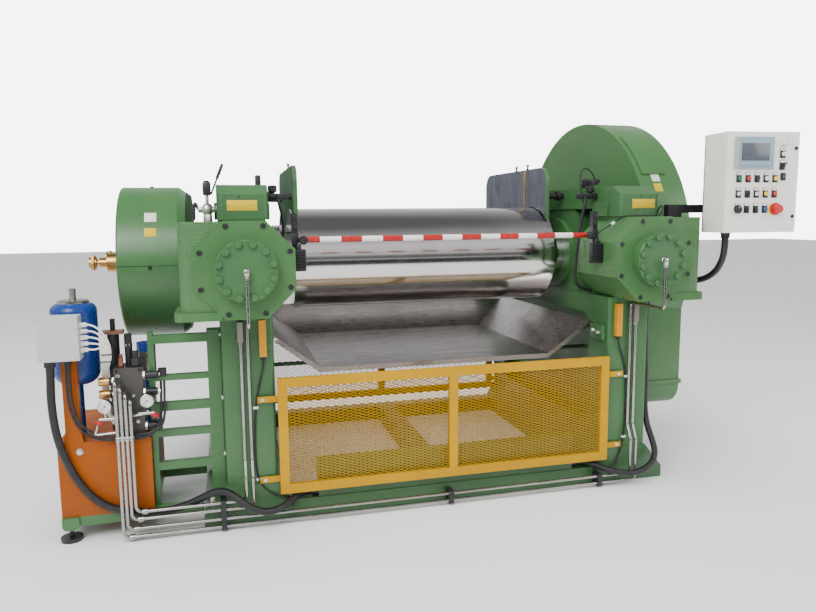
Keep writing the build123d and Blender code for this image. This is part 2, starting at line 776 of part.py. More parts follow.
def right_gear_cover():
    """Upper half of the bull gear cover, held to the frame by its neck."""
    shell = bull_outline(0, RIGHT_COVER_IN, RIGHT_COVER_OUT)
    reach = 2 * RIGHT_COVER_R
    below = block(0, 2 * RIGHT_COVER_OUT, -reach, reach, -reach, RIGHT_COVER_SEAM)
    neck = rod_x(FRAME_OUT, RIGHT_COVER_IN, AXIS_Y, AXIS_Z, 2 * RIGHT_NECK_R)
    lip = bull_outline(SUMP_LIP, RIGHT_COVER_IN - SUMP_LIP, RIGHT_COVER_OUT + SUMP_LIP)
    lip = lip & block(
        0, 2 * RIGHT_COVER_OUT, -reach, reach, RIGHT_COVER_SEAM, RIGHT_COVER_SEAM + SUMP_LIP_H)
    shaft = rod_x(FRAME_OUT, RIGHT_COVER_OUT - 2 * SHAFT_CLEAR, AXIS_Y, AXIS_Z, SHAFT_D + 2 * SHAFT_CLEAR)
    return shell + lip - below + neck - shaft


def right_gear_sump():
    """Lower half of the bull gear cover, with a flange at the seam."""
    shell = bull_outline(0, RIGHT_COVER_IN, RIGHT_COVER_OUT)
    lip = bull_outline(SUMP_LIP, RIGHT_COVER_IN - SUMP_LIP, RIGHT_COVER_OUT + SUMP_LIP)
    reach = 2 * RIGHT_COVER_R
    lip = lip & block(
        0, 2 * RIGHT_COVER_OUT, -reach, reach, RIGHT_COVER_SEAM - SUMP_LIP_H, RIGHT_COVER_SEAM)
    above = block(0, 2 * RIGHT_COVER_OUT, -reach, reach, RIGHT_COVER_SEAM, 3 * reach)
    rear = FRAME_REAR - BRACKET_W
    bracket = block(
        FRAME_OUT, RIGHT_COVER_IN, rear, FRAME_REAR,
        RIGHT_COVER_SEAM - SUMP_LIP_H - BRACKET_H, RIGHT_COVER_SEAM - SUMP_LIP_H)
    return shell + lip - above + bracket


def cover_hatch():
    """Curved inspection lid on the rim of the bull gear cover."""
    x = RIGHT_COVER_IN + HATCH_INSET
    ring = rod_x(x, x + HATCH_W, RIGHT_COVER_Y, AXIS_Z, 2 * (RIGHT_COVER_R + HATCH_T))
    ring -= rod_x(0, 2 * RIGHT_COVER_OUT, RIGHT_COVER_Y, AXIS_Z, 2 * RIGHT_COVER_R)
    reach = 2 * RIGHT_COVER_R
    points = [(RIGHT_COVER_Y, AXIS_Z)]
    for angle in (HATCH_FROM, HATCH_TO):
        turn = math.radians(180 - angle)
        points.append((RIGHT_COVER_Y + reach * math.cos(turn), AXIS_Z + reach * math.sin(turn)))
    return ring & side_prism(points, 0, 2 * RIGHT_COVER_OUT)


# Rotary unions

def rotary_union(y):
    """Stepped union body on the end of a roll shaft."""
    x = -LEFT_COVER_OUT - SHAFT_CLEAR - SEAT_GAP
    steps = (
        (UNION_FLANGE_D, UNION_FLANGE_T),
        (UNION_BODY_D, UNION_BODY_L),
        (UNION_PIPE_D, UNION_PIPE_L),
        (UNION_NECK_D, UNION_NECK_L),
        (UNION_NUT_D, UNION_NUT_L),
    )
    points = [(x, 0)]
    for diameter, length in steps:
        points.append((x, diameter / 2))
        x -= length
        points.append((x, diameter / 2))
    points.append((x, 0))
    return turned_x(points, y, AXIS_Z)


# Control panel

def panel_place(shape):
    """Move a shape made about the panel's front face centre to its place."""
    return Pos(PANEL_X, PANEL_Y, PANEL_Z + PANEL_H / 2) * Rot(0, 0, PANEL_TURN) * shape


def panel_box():
    """Open-fronted sheet box."""
    back = PANEL_D
    outer = block(-PANEL_W / 2, PANEL_W / 2, PANEL_DOOR_T, back, -PANEL_H / 2, PANEL_H / 2)
    inner = block(
        -PANEL_W / 2 + PANEL_WALL, PANEL_W / 2 - PANEL_WALL, 0, back - PANEL_WALL,
        -PANEL_H / 2 + PANEL_WALL, PANEL_H / 2 - PANEL_WALL)
    return panel_place(outer - inner)


def panel_door():
    """Door in folded sheet that carries the controls."""
    outer = block(-PANEL_W / 2, PANEL_W / 2, 0, PANEL_DOOR_T - SEAT_GAP, -PANEL_H / 2, PANEL_H / 2)
    inner = block(
        -PANEL_W / 2 + PANEL_WALL, PANEL_W / 2 - PANEL_WALL, PANEL_WALL, PANEL_DOOR_T,
        -PANEL_H / 2 + PANEL_WALL, PANEL_H / 2 - PANEL_WALL)
    return panel_place(outer - inner)


SCREEN_X = -PANEL_W / 2 + SCREEN_LEFT + SCREEN_W / 2
SCREEN_Z = PANEL_H / 2 - SCREEN_DROP - SCREEN_H / 2
BUTTON_X = -PANEL_W / 2 + BUTTON_LEFT
BUTTON_Z = PANEL_H / 2 - BUTTON_DROP


def panel_screen():
    """Operator screen in the upper left of the door."""
    plate = block(
        SCREEN_X - SCREEN_W / 2, SCREEN_X + SCREEN_W / 2, -SCREEN_T, 0,
        SCREEN_Z - SCREEN_H / 2, SCREEN_Z + SCREEN_H / 2)
    return panel_place(plate)


def stop_place():
    """Place of the stop button, at the end of the last row."""
    x = BUTTON_X + BUTTON_PITCH * (BUTTON_COLUMNS - 1) + STOP_ASIDE
    return x, BUTTON_Z - BUTTON_ROW_PITCH * (BUTTON_ROWS - 1)


def button_places():
    """Grid of rows under the screen without the stop button's place, and a column beside the screen."""
    places = []
    for row in range(BUTTON_ROWS):
        for column in range(BUTTON_COLUMNS):
            places.append((BUTTON_X + BUTTON_PITCH * column, BUTTON_Z - BUTTON_ROW_PITCH * row))
    places.pop()
    side_x = SCREEN_X + SCREEN_W / 2 + SIDE_COLUMN_GAP
    for row in range(BUTTON_ROWS):
        places.append((side_x, PANEL_H / 2 - SIDE_COLUMN_DROP - SIDE_COLUMN_PITCH * row))
    return places


def panel_buttons():
    """Push buttons and selectors of the door."""
    return [panel_place(rod_y(x, -BUTTON_T, 0, z, BUTTON_D)) for x, z in button_places()]


def stop_button():
    """Mushroom stop button on its round plate."""
    x, z = stop_place()
    plate = rod_y(x, -SCREEN_T, 0, z, STOP_PLATE_D)
    head = rod_y(x, -STOP_T, -SCREEN_T, z, STOP_D)
    return panel_place(plate + head)


def panel_arm():
    """Square tube on a foot on the right cylinder housing, cranked to the panel's back."""
    z0 = ARM_Z
    z1 = z0 + ARM_SIZE
    half = ARM_SIZE / 2
    tube = block(ARM_X, PANEL_X, -ARM_Y - half, -ARM_Y + half, z0, z1)
    foot = block(ARM_X, ARM_X + ARM_FOOT_L, -ARM_Y - half, -ARM_Y + half, HOUSING_TOP_Z, z0)
    centre_z = PANEL_Z + PANEL_H / 2
    reach = -PANEL_Y - ARM_Y + half
    crank = block(-ARM_SIZE, 0, PANEL_D, reach, z0 - centre_z, z1 - centre_z)
    return tube + foot + panel_place(crank)


# Hydraulic unit

def oil_tank():
    return block(TANK_X, TANK_X + TANK_W, -TANK_FRONT, -TANK_FRONT + TANK_D, TANK_BOTTOM, TANK_TOP)


def tank_frame():
    """Skid under the tank: two long beams tied to the base, cross beams, and levelling feet on lugs."""
    front = -TANK_FRONT
    back = front + TANK_D
    z0, z1 = TANK_BOTTOM - SKID_H, TANK_BOTTOM
    frame = block(TANK_X, -FOOT_OUT, front, front + SKID_W, z0, z1)
    frame += block(TANK_X, -FOOT_OUT, back - SKID_W, back, z0, z1)
    frame += block(TANK_X, TANK_X + SKID_W, front, back, z0, z1)
    frame += block(TANK_X + TANK_W - SKID_W, TANK_X + TANK_W, front, back, z0, z1)
    for y in (front - FOOT_LUG_T, back):
        lug = block(TANK_X, TANK_X + FOOT_LUG_W, y, y + FOOT_LUG_T, z0 - FOOT_LUG_DROP, z1)
        frame += fillet(lug.edges().filter_by(Axis.Y).group_by(Axis.Z)[0], FOOT_LUG_R)
    for y in (front + SKID_W / 2, back - SKID_W / 2):
        x = TANK_X + SKID_W / 2
        frame += rod_z(x, y, 0, FOOT_DISC_H, FOOT_DISC_D)
        frame += rod_z(x, y, FOOT_DISC_H / 2, z0 + SKID_H / 2, FOOT_STEM_D)
    return frame


def box_post():
    """Upright plate on the tank, flared at its foot, that carries the terminal box and accumulator."""
    x0 = TANK_X + POST_INSET
    x1 = x0 + POST_W
    outline = [
        (x0 - POST_FLARE, TANK_TOP),
        (x1 + POST_FLARE, TANK_TOP),
        (x1, TANK_TOP + POST_FLARE_H),
        (x1, POST_TOP),
        (x0, POST_TOP),
        (x0, TANK_TOP + POST_FLARE_H),
    ]
    return front_prism(outline, -TANK_FRONT, -TANK_FRONT + POST_T)


def terminal_box():
    x = TANK_X + TERMINAL_INSET
    y = -TANK_FRONT
    return block(x - TERMINAL_W / 2, x + TERMINAL_W / 2, y - TERMINAL_D, y, POST_TOP, POST_TOP + TERMINAL_H)


def accumulator():
    """Bladder accumulator: domed steel bottle with a port, a cap disc and a gas valve."""
    r = ACC_D / 2
    body = rod_z(ACC_X, ACC_Y, ACC_BOTTOM, ACC_TOP, ACC_D)
    body = fillet(body.edges().group_by(Axis.Z)[0], r * 0.6)
    body = fillet(body.edges().group_by(Axis.Z)[-1], r * 0.4)
    port = rod_z(ACC_X, ACC_Y, TANK_TOP, ACC_BOTTOM + r / 2, ACC_PORT_D)
    disc = rod_z(ACC_X, ACC_Y, ACC_TOP - r / 2, ACC_TOP + ACC_CAP_H, ACC_CAP_D)
    disc = chamfer(disc.edges().group_by(Axis.Z)[-1], ACC_CAP_H / 2)
    stem = rod_z(ACC_X, ACC_Y, ACC_TOP, ACC_TOP + ACC_STEM_H, ACC_STEM_D)
    return body + port + disc + stem


def manifold_block():
    y = -TANK_FRONT
    half = MANIFOLD_W / 2
    return block(MANIFOLD_X - half, MANIFOLD_X + half, y, y + MANIFOLD_D, TANK_TOP, MANIFOLD_TOP)


def gauge(side, aside, drop):
    """Pressure gauge on a stem above a needle valve, on a stub in the manifold's front face."""
    x = MANIFOLD_X + side * aside
    root = MANIFOLD_X + side * (MANIFOLD_W / 2 - GAUGE_VALVE_D)
    y = -TANK_FRONT - GAUGE_STAND_OFF
    z = MANIFOLD_TOP - drop
    valve_z = z - GAUGE_D / 2 - GAUGE_STEM_H
    dial = rod_y(x, y - GAUGE_T / 2, y + GAUGE_T / 2, z, GAUGE_D)
    stem = rod_z(x, y, valve_z, z, GAUGE_STEM_D)
    valve = rod_x(root, x + side * GAUGE_VALVE_REACH, y, valve_z, GAUGE_VALVE_D)
    stub = rod_y(root, y, -TANK_FRONT, valve_z, GAUGE_VALVE_D)
    return dial + stem + valve + stub


def valves_and_gauges():
    """Solenoid coils on the manifold's sides, a relief valve on top, and two gauges."""
    y = -TANK_FRONT + COIL_SET_BACK
    parts = []
    for side, drops in ((-1, LEFT_COIL_DROP), (1, RIGHT_COIL_DROP)):
        face = MANIFOLD_X + side * MANIFOLD_W / 2
        for drop in drops:
            parts.append(rod_x(face, face + side * COIL_LEN, y, MANIFOLD_TOP - drop, COIL_D))
    relief_y = -TANK_FRONT + MANIFOLD_D / 2
    parts.append(rod_z(MANIFOLD_X, relief_y, MANIFOLD_TOP, MANIFOLD_TOP + RELIEF_H, RELIEF_D))
    parts.append(gauge(-1, *LEFT_GAUGE))
    parts.append(gauge(1, *RIGHT_GAUGE))
    return parts


def pump_motor():
    """Upright electric motor: flange, ribbed body and fan cowl."""
    y = -TANK_FRONT + MOTOR_BACK
    top = TANK_TOP + MOTOR_H
    motor = rod_z(MOTOR_X, y, TANK_TOP, top, MOTOR_CORE_D)
    motor += rod_z(MOTOR_X, y, top - MOTOR_COWL_H, top, MOTOR_D)
    motor += rod_z(MOTOR_X, y, TANK_TOP, TANK_TOP + MOTOR_FLANGE_T, MOTOR_FLANGE_D)
    z0, z1 = top - MOTOR_COWL_H - MOTOR_FIN_H, top - MOTOR_COWL_H
    for index in range(MOTOR_FINS // 2):
        fin = block(-MOTOR_D / 2, MOTOR_D / 2, -MOTOR_FIN_T / 2, MOTOR_FIN_T / 2, z0, z1)
        motor += Pos(MOTOR_X, y, 0) * Rot(0, 0, 360 / MOTOR_FINS * index) * fin
    return motor


def return_filter():
    """Return line filter bowl with a flat head and a breather."""
    y = -TANK_FRONT + FILTER_BACK
    top = TANK_TOP + FILTER_H
    bowl = rod_z(FILTER_X, y, TANK_TOP, top, FILTER_D)
    head = block(
        FILTER_X - FILTER_HEAD_W / 2, FILTER_X + FILTER_HEAD_W / 2,
        y - FILTER_HEAD_D / 2, y + FILTER_HEAD_D / 2, top, top + FILTER_HEAD_T)
    breather = rod_z(FILTER_X, y, top, top + FILTER_HEAD_T + BREATHER_H, BREATHER_D)
    return bowl + head + breather


# Pipes

def pipe(points, radius):
    """Round pipe along straight runs with bends of one radius."""
    path = FilletPolyline(*points, radius=radius)
    start = Plane(origin=points[0], z_dir=Vector(*points[1]) - Vector(*points[0]))
    return sweep(start * Circle(PIPE_D / 2), path=path)


def riser_x(index):
    return RISER_X + RISER_PITCH * index


def floor_start(index):
    """Where a riser's bend ends and its floor pipe begins."""
    return riser_x(index) + PIPE_BEND_R + PIPE_NUT_L


def riser_pipe(index):
    """Pipe from the manifold's front down to the floor, with a bend and a union nut."""
    top_z = MANIFOLD_TOP - RISER_DROP - RISER_STEP * index
    z = PIPE_Z[index]
    x = riser_x(index)
    end = floor_start(index)
    run = pipe([(x, -TANK_FRONT, top_z), (x, -PIPE_Y, top_z), (x, -PIPE_Y, z), (end, -PIPE_Y, z)], PIPE_BEND_R)
    return run + rod_x(end - PIPE_NUT_L, end, -PIPE_Y, z, PIPE_NUT_D)


def floor_end(index):
    """Where a floor pipe ends and the pipe that climbs the column begins."""
    return COLUMN_PIPE_X[index] - PIPE_BEND_R - PIPE_D / 2


def floor_pipe(index):
    """Straight pipe along the base, to the foot of its column pipe: the two lowest go to the right."""
    return rod_x(floor_start(index), floor_end(index), -PIPE_Y, PIPE_Z[index], PIPE_D)


def column_pipe(index, top):
    """Pipe that turns up from the floor pipe, steps back to the column and climbs it."""
    x = COLUMN_PIPE_X[index]
    z = PIPE_Z[index]
    points = [
        (floor_end(index), -PIPE_Y, z),
        (x, -PIPE_Y, z),
        (x, -PIPE_Y, JOG_Z),
        (x, -COLUMN_PIPE_Y, COLUMN_PIPE_Z),
        (x, -COLUMN_PIPE_Y, top),
    ]
    return pipe(points, PIPE_BEND_R)


def cover_pipe(x):
    """Pipe from a column pipe's top, forward under the housing and up to the cover's centre."""
    low = FLOOR_Z - COVER_PIPE_DROP
    front = -COVER_FRONT - COVER_PIPE_OUT
    points = [
        (x, -COLUMN_PIPE_Y, low - PIPE_BEND_R),
        (x, -COLUMN_PIPE_Y, low),
        (x, front, low),
        (x, front, AXIS_Z),
        (x, -COVER_FRONT, AXIS_Z),
    ]
    return pipe(points, COVER_PIPE_BEND_R)


def column_pipes():
    """Pipes up the fronts of the columns, one to each pressure switch and one to each cylinder cover."""
    cover_top = FLOOR_Z - COVER_PIPE_DROP - PIPE_BEND_R
    parts = []
    for index, top in enumerate((PRESSURE_Z, cover_top, cover_top, PRESSURE_Z)):
        parts.append(column_pipe(index, top))
    return parts + [cover_pipe(-FRAME_X), cover_pipe(FRAME_X)]


def pipe_clamps():
    """Blocks that hold the floor pipes to the base, each as tall as the pipes it holds."""
    clamps = []
    for x in CLAMP_X:
        face = FRAME_FRONT + (FOOT_FRONT_STEP if abs(x) > FOOT_IN else 0)
        held = [z for index, z in enumerate(PIPE_Z) if x < floor_end(index)]
        clamp = block(x - CLAMP_W / 2, x + CLAMP_W / 2, -PIPE_Y - CLAMP_FRONT, -face,
                      held[0] - CLAMP_FRONT, held[-1] + CLAMP_FRONT)
        for z in held:
            clamp -= rod_x(x - CLAMP_W, x + CLAMP_W, -PIPE_Y, z, PIPE_D + 2 * SEAT_GAP)
        clamps.append(clamp)
    return clamps


def column_switches():
    """Guard switches and pressure switches on the fronts of the columns, under the housings."""
    face = -FRAME_FRONT
    x = FRAME_IN + SWITCH_INSET
    switch = block(x, x + SWITCH_W, face - SWITCH_D, face, SWITCH_Z, SWITCH_Z + SWITCH_H)
    x = COLUMN_PIPE_X[0]
    sensor = block(x - PRESSURE_W / 2, x + PRESSURE_W / 2, face - SWITCH_D, face,
                   PRESSURE_Z, PRESSURE_Z + PRESSURE_H)
    return [switch, left_of(switch), sensor, left_of(sensor)]


# Hoses

def panel_gland_place():
    """Centre of the hose gland, under the panel box."""
    turn = math.radians(PANEL_TURN)
    x = PANEL_X + PANEL_HOSE_ASIDE * math.cos(turn) - PANEL_HOSE_BACK * math.sin(turn)
    y = PANEL_Y + PANEL_HOSE_ASIDE * math.sin(turn) + PANEL_HOSE_BACK * math.cos(turn)
    return x, y


def hose_glands():
    """Glands that the hoses screw into: at the terminal box, the panel box and the duct's two ends."""
    motor_d = MOTOR_HOSE_D * GLAND_ACROSS
    panel_d = PANEL_HOSE_D * GLAND_ACROSS
    box_x = TANK_X + TERMINAL_INSET + MOTOR_HOSE_ASIDE
    box_y = -TANK_FRONT - TERMINAL_D / 2
    return [
        rod_z(box_x, box_y, POST_TOP - GLAND_H, POST_TOP, motor_d),
        rod_z(*panel_gland_place(), PANEL_Z - GLAND_H, PANEL_Z, panel_d),
        rod_x(-DUCT_END, -FASCIA_HALF, DUCT_HOSE_Y, DUCT_HOSE_Z, motor_d),
        rod_x(FASCIA_HALF, DUCT_END, DUCT_HOSE_Y, DUCT_HOSE_Z, panel_d),
    ]


def motor_hose_route():
    """From the terminal box, past the tank, over the first pipe clamp and into the duct."""
    box_x = TANK_X + TERMINAL_INSET + MOTOR_HOSE_ASIDE
    box_y = -TANK_FRONT - TERMINAL_D / 2
    return [
        (box_x, box_y, POST_TOP - GLAND_H),
        (box_x, box_y, POST_TOP - GLAND_H - EXIT_RUN),
        (-1881, -931, 690),
        (-1874, -924, 540),
        (-1848, -917, 420),
        (-1803, -913, 305),
        (-1736, -913, 207),
        (-1648, -913, 145),
        (-1540, -913, 118),
        (-1425, -914, 113),
        (-1335, -921, 132),
        (-1258, -936, 168),
        (-1190, -952, 200),
        (-1135, -972, 196),
        (-1085, -994, 158),
        (-1035, -1001, 116),
        (-975, -1000, 88),
        (-916, -993, 88),
        (-866, -968, 101),
        (-812, -912, 118),
        (-DUCT_END - EXIT_RUN, DUCT_HOSE_Y, DUCT_HOSE_Z),
        (-DUCT_END, DUCT_HOSE_Y, DUCT_HOSE_Z),
    ]


def panel_hose_route():
    """From the panel, behind the right housing, down beside the column and over the foot into the duct."""
    x, y = panel_gland_place()
    return [
        (x, y, PANEL_Z - GLAND_H),
        (x, y, PANEL_Z - GLAND_H - EXIT_RUN),
        (1406, -1152, 1252),
        (1420, -1095, 1190),
        (1425, -1035, 1153),
        (1425, -975, 1130),
        (1420, -912, 1118),
        (1394, -856, 1110),
        (1346, -814, 1102),
        (1283, -798, 1086),
        (1228, -798, 1046),
        (1191, -806, 984),
        (1174, -824, 892),
        (1170, -842, 740),
        (1172, -852, 560),
        (1170, -856, 400),
        (1176, -874, 306),
        (1188, -908, 232),
        (1184, -955, 172),
        (1148, -991, 122),
        (1086, -999, 86),
        (1010, -997, 72),
        (946, -994, 82),
        (886, -976, 96),
        (816, -908, 116),
        (DUCT_END + EXIT_RUN, DUCT_HOSE_Y, DUCT_HOSE_Z),
        (DUCT_END, DUCT_HOSE_Y, DUCT_HOSE_Z),
    ]


def hose(name, points, diameter):
    """Round hose along its route, with each bend as wide as its two runs allow."""
    nodes = [Vector(*point) for point in points]
    runs = [after - before for before, after in zip(nodes, nodes[1:])]
    radii = []
    for before, after in zip(runs, runs[1:]):
        half_turn = math.radians(before.get_angle(after)) / 2
        radii.append(BEND_SHARE * min(before.length, after.length) / math.tan(half_turn))
    print(name, "bend radii", [round(radius) for radius in radii])
    path = FilletPolyline(*points, radius=radii)
    start = Plane(origin=points[0], z_dir=runs[0])
    tube = sweep(start * Circle(diameter / 2), path=path)
    section = math.pi * diameter ** 2 / 4
    print(name, "length", round(path.length), "volume share", round(tube.volume / (section * path.length), 4))
    return tube


# Service rack

def service_rack():
    """Post on the left foot, and rails that reach to an upright on the skid."""
    half = RACK_POST_W / 2
    front, back = -RACK_Y, -RACK_Y + RACK_POST_D
    post = block(RACK_POST_X - half, RACK_POST_X + half, front, back, 0, RACK_TOP)
    post -= left_of(frame_foot())
    upright_x = TANK_X + TANK_W + RACK_UPRIGHT_GAP
    upright = block(upright_x, upright_x + RACK_UPRIGHT_W, front, front + RAIL_W, TANK_BOTTOM, RACK_TOP)
    rack = post + upright
    for z, height in RAILS:
        rack += block(upright_x, RACK_POST_X, front, front + RAIL_W, z - height / 2, z + height / 2)
    return rack


def build():
    save("front_roll", roll(-AXIS_Y, LEFT_COVER_OUT + SHAFT_CLEAR, FRAME_OUT + SHOULDER_LEN / 2))
    save("back_roll", roll(AXIS_Y, LEFT_COVER_OUT + SHAFT_CLEAR, RIGHT_COVER_OUT - 4 * SHAFT_CLEAR))
    sides = (("right", lambda shape: shape), ("left", left_of))
    for side, place in sides:
        save(f"{side}_side_frame", place(side_frame()))
        save(f"{side}_cylinder_housing", place(cylinder_housing()))
        save(f"{side}_cylinder_cover", place(cylinder_cover()))
        save(f"{side}_cap", place(cap()))
        save(f"{side}_front_chock", place(chock(-AXIS_Y)))
        save(f"{side}_back_chock", place(chock(AXIS_Y)))
        save(f"{side}_stock_guide", place(stock_guide()))
    save("nip_rams", ram() + left_of(ram()))
    save("guide_rods", guide_rods() + left_of(guide_rods()))
    save("base_front_rail", base_rail(-FRAME_FRONT, -FRAME_FRONT + BASE_RAIL_W))
    save("base_rear_rail", base_rail(FRAME_REAR - BASE_RAIL_W, FRAME_REAR))
    tie = block(-BASE_TIE_W / 2, BASE_TIE_W / 2, -FRAME_FRONT + BASE_RAIL_W,
                FRAME_REAR - BASE_RAIL_W, 0, BASE_RAIL_H)
    save("base_centre_tie", tie)
    save("base_fascia", fascia())
    save("catch_tray", catch_tray())
    save("tray_arms", tray_arms())
    save("front_guard", guard_frame(FRAME_FRONT, -1))
    save("rear_guard", guard_frame(FRAME_REAR, 1))
    save("guard_mesh", Compound(children=guard_mesh(FRAME_FRONT, -1) + guard_mesh(FRAME_REAR, 1)))
    save("safety_bar", safety_bar())
    save("bar_levers", lever() + left_of(lever()))
    save("lever_pins", lever_pin() + left_of(lever_pin()))
    save("left_gear_cover", left_gear_cover())
    save("right_gear_cover", right_gear_cover())
    save("right_gear_sump", right_gear_sump())
    save("cover_hatch", cover_hatch())
    save("front_rotary_union", rotary_union(-AXIS_Y))
    save("back_rotary_union", rotary_union(AXIS_Y))
    save("panel_box", panel_box())
    save("panel_door", panel_door())
    save("panel_screen", panel_screen())
    save("panel_buttons", Compound(children=panel_buttons()))
    save("stop_button", stop_button())
    save("panel_arm", panel_arm())
    save("oil_tank", oil_tank())
    save("tank_frame", tank_frame())
    save("box_post", box_post())
    save("terminal_box", terminal_box())
    save("accumulator", accumulator())
    save("manifold_block", manifold_block())
    save("pump_motor", pump_motor())
    save("return_filter", return_filter())
    save("valves_and_gauges", Compound(children=valves_and_gauges()))
    save("riser_pipes", Compound(children=[riser_pipe(index) for index in range(len(PIPE_Z))]))
    save("floor_pipes", Compound(children=[floor_pipe(index) for index in range(len(PIPE_Z))]))
    save("column_pipes", Compound(children=column_pipes()))
    save("column_switches", Compound(children=column_switches()))
    save("pipe_clamps", Compound(children=pipe_clamps()))
    save("hose_glands", Compound(children=hose_glands()))
    save("motor_hose", hose("motor_hose", motor_hose_route(), MOTOR_HOSE_D))
    save("panel_hose", hose("panel_hose", panel_hose_route(), PANEL_HOSE_D))
    save("service_rack", service_rack())


build()
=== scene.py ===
import math

import bmesh
import bpy
from mathutils import Matrix, Vector


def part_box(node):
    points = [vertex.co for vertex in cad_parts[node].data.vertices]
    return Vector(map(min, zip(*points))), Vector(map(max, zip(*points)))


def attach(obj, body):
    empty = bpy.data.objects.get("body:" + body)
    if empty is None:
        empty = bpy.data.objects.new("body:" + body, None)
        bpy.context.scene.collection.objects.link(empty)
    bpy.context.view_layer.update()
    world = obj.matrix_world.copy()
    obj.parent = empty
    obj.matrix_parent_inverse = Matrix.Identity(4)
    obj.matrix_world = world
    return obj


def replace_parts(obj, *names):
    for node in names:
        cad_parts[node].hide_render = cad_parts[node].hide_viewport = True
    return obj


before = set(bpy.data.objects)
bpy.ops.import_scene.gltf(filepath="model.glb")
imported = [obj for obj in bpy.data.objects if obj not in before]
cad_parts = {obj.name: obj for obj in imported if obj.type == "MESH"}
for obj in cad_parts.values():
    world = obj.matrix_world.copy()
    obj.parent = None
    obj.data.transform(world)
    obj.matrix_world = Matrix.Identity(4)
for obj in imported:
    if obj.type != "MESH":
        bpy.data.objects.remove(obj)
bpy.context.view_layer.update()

# Camera, solved from the photograph, in metres and degrees
EYE = Vector((-1.1046, -4.2463, 1.488))
YAW = math.radians(14.668)
PITCH = math.radians(-7.371)
ROLL = math.radians(-0.506)
LENS = 30.67
SENSOR = 36
FAR_CLIP = 100


def new_object(name, data):
    """Object of this data, linked into the scene."""
    made = bpy.data.objects.new(name, data)
    bpy.context.scene.collection.objects.link(made)
    return made


def add_camera():
    forward = Vector((math.sin(YAW) * math.cos(PITCH), math.cos(YAW) * math.cos(PITCH), math.sin(PITCH)))
    level = Vector((math.cos(YAW), -math.sin(YAW), 0))
    up = level.cross(forward)
    right = math.cos(ROLL) * level + math.sin(ROLL) * up
    top = -math.sin(ROLL) * level + math.cos(ROLL) * up
    data = bpy.data.cameras.new("camera")
    data.lens = LENS
    data.sensor_width = SENSOR
    data.clip_end = FAR_CLIP
    camera = new_object("camera", data)
    turn = Matrix((right, top, -forward)).transposed().to_4x4()
    camera.matrix_world = Matrix.Translation(EYE) @ turn
    bpy.context.scene.camera = camera


add_camera()


# Node shortcuts

MIX_COLOUR_INPUTS = (0, 6, 7)


def feed(links, socket, value):
    """Link an output to an input, or set the input's value."""
    if isinstance(value, bpy.types.NodeSocket):
        links.new(value, socket)
    elif isinstance(value, tuple) and len(value) == 3 and socket.type == "RGBA":
        socket.default_value = (*value, 1)
    else:
        socket.default_value = value


def add_node(tree, kind, **inputs):
    """New node with these inputs; an underscore in a keyword stands for a space."""
    node = tree.nodes.new("ShaderNode" + kind)
    for name, value in inputs.items():
        feed(tree.links, node.inputs[name.replace("_", " ")], value)
    return node


class Finish:
    """A material and the few kinds of node that the finishes here are made of."""

    def __init__(self, name):
        self.material = bpy.data.materials.new(name)
        self.material.use_nodes = True
        self.tree = self.material.node_tree
        self.shader = self.tree.nodes["Principled BSDF"]
        coords = self.add("TexCoord").outputs
        self.place = coords["Object"]
        self.normal = coords["Normal"]
        self.along = coords["UV"]

    def add(self, kind, **inputs):
        return add_node(self.tree, kind, **inputs)

    def calc(self, operation, first, second=0.0):
        node = self.add("Math")
        node.operation = operation
        feed(self.tree.links, node.inputs[0], first)
        feed(self.tree.links, node.inputs[1], second)
        return node.outputs[0]

    def axis(self, source, name):
        return self.add("SeparateXYZ", Vector=source).outputs[name]

    def stretched(self, scale):
        return self.add("Mapping", Vector=self.place, Scale=scale).outputs[0]

    def noise(self, scale, detail, source=None):
        return self.add("TexNoise", Vector=source or self.place, Scale=scale, Detail=detail).outputs[0]

    def between(self, value, low, high, start=0.0, end=1.0):
        """Value carried from one range to another, and held at its ends."""
        node = self.add("MapRange", Value=value, From_Min=low, From_Max=high, To_Min=start, To_Max=end)
        return node.outputs[0]

    def patches(self, scale, detail, low, high, start=0.0, end=1.0):
        """Clouds of noise between two of its levels, spread from a start to an end value."""
        return self.between(self.noise(scale, detail), low, high, start, end)

    def uneven(self, scale, detail, low, high):
        """Roughness that wanders between two values."""
        self.set(Roughness=self.patches(scale, detail, 0.3, 0.7, low, high))

    def mix(self, share, first, second):
        node = self.add("Mix")
        node.data_type = "RGBA"
        for place, value in zip(MIX_COLOUR_INPUTS, (share, first, second)):
            feed(self.tree.links, node.inputs[place], value)
        return node.outputs[2]

    def bump(self, height, strength, distance, under=None):
        node = self.add("Bump", Strength=strength, Distance=distance, Height=height)
        if under:
            feed(self.tree.links, node.inputs["Normal"], under)
        self.set(Normal=node.outputs[0])
        return node.outputs[0]

    def set(self, **values):
        for name, value in values.items():
            feed(self.tree.links, self.shader.inputs[name.replace("_", " ")], value)


# Finishes

GREEN = (0.052, 0.15, 0.047)
GREEN_DEEP = (0.04, 0.12, 0.042)
GREEN_PALE = (0.064, 0.165, 0.054)
YELLOW = (0.56, 0.3, 0.0)
ORANGE = (0.36, 0.08, 0.0)
BLUE = (0.01, 0.042, 0.22)
CREAM = (0.88, 0.85, 0.78)
BLACK = (0.012, 0.012, 0.014)


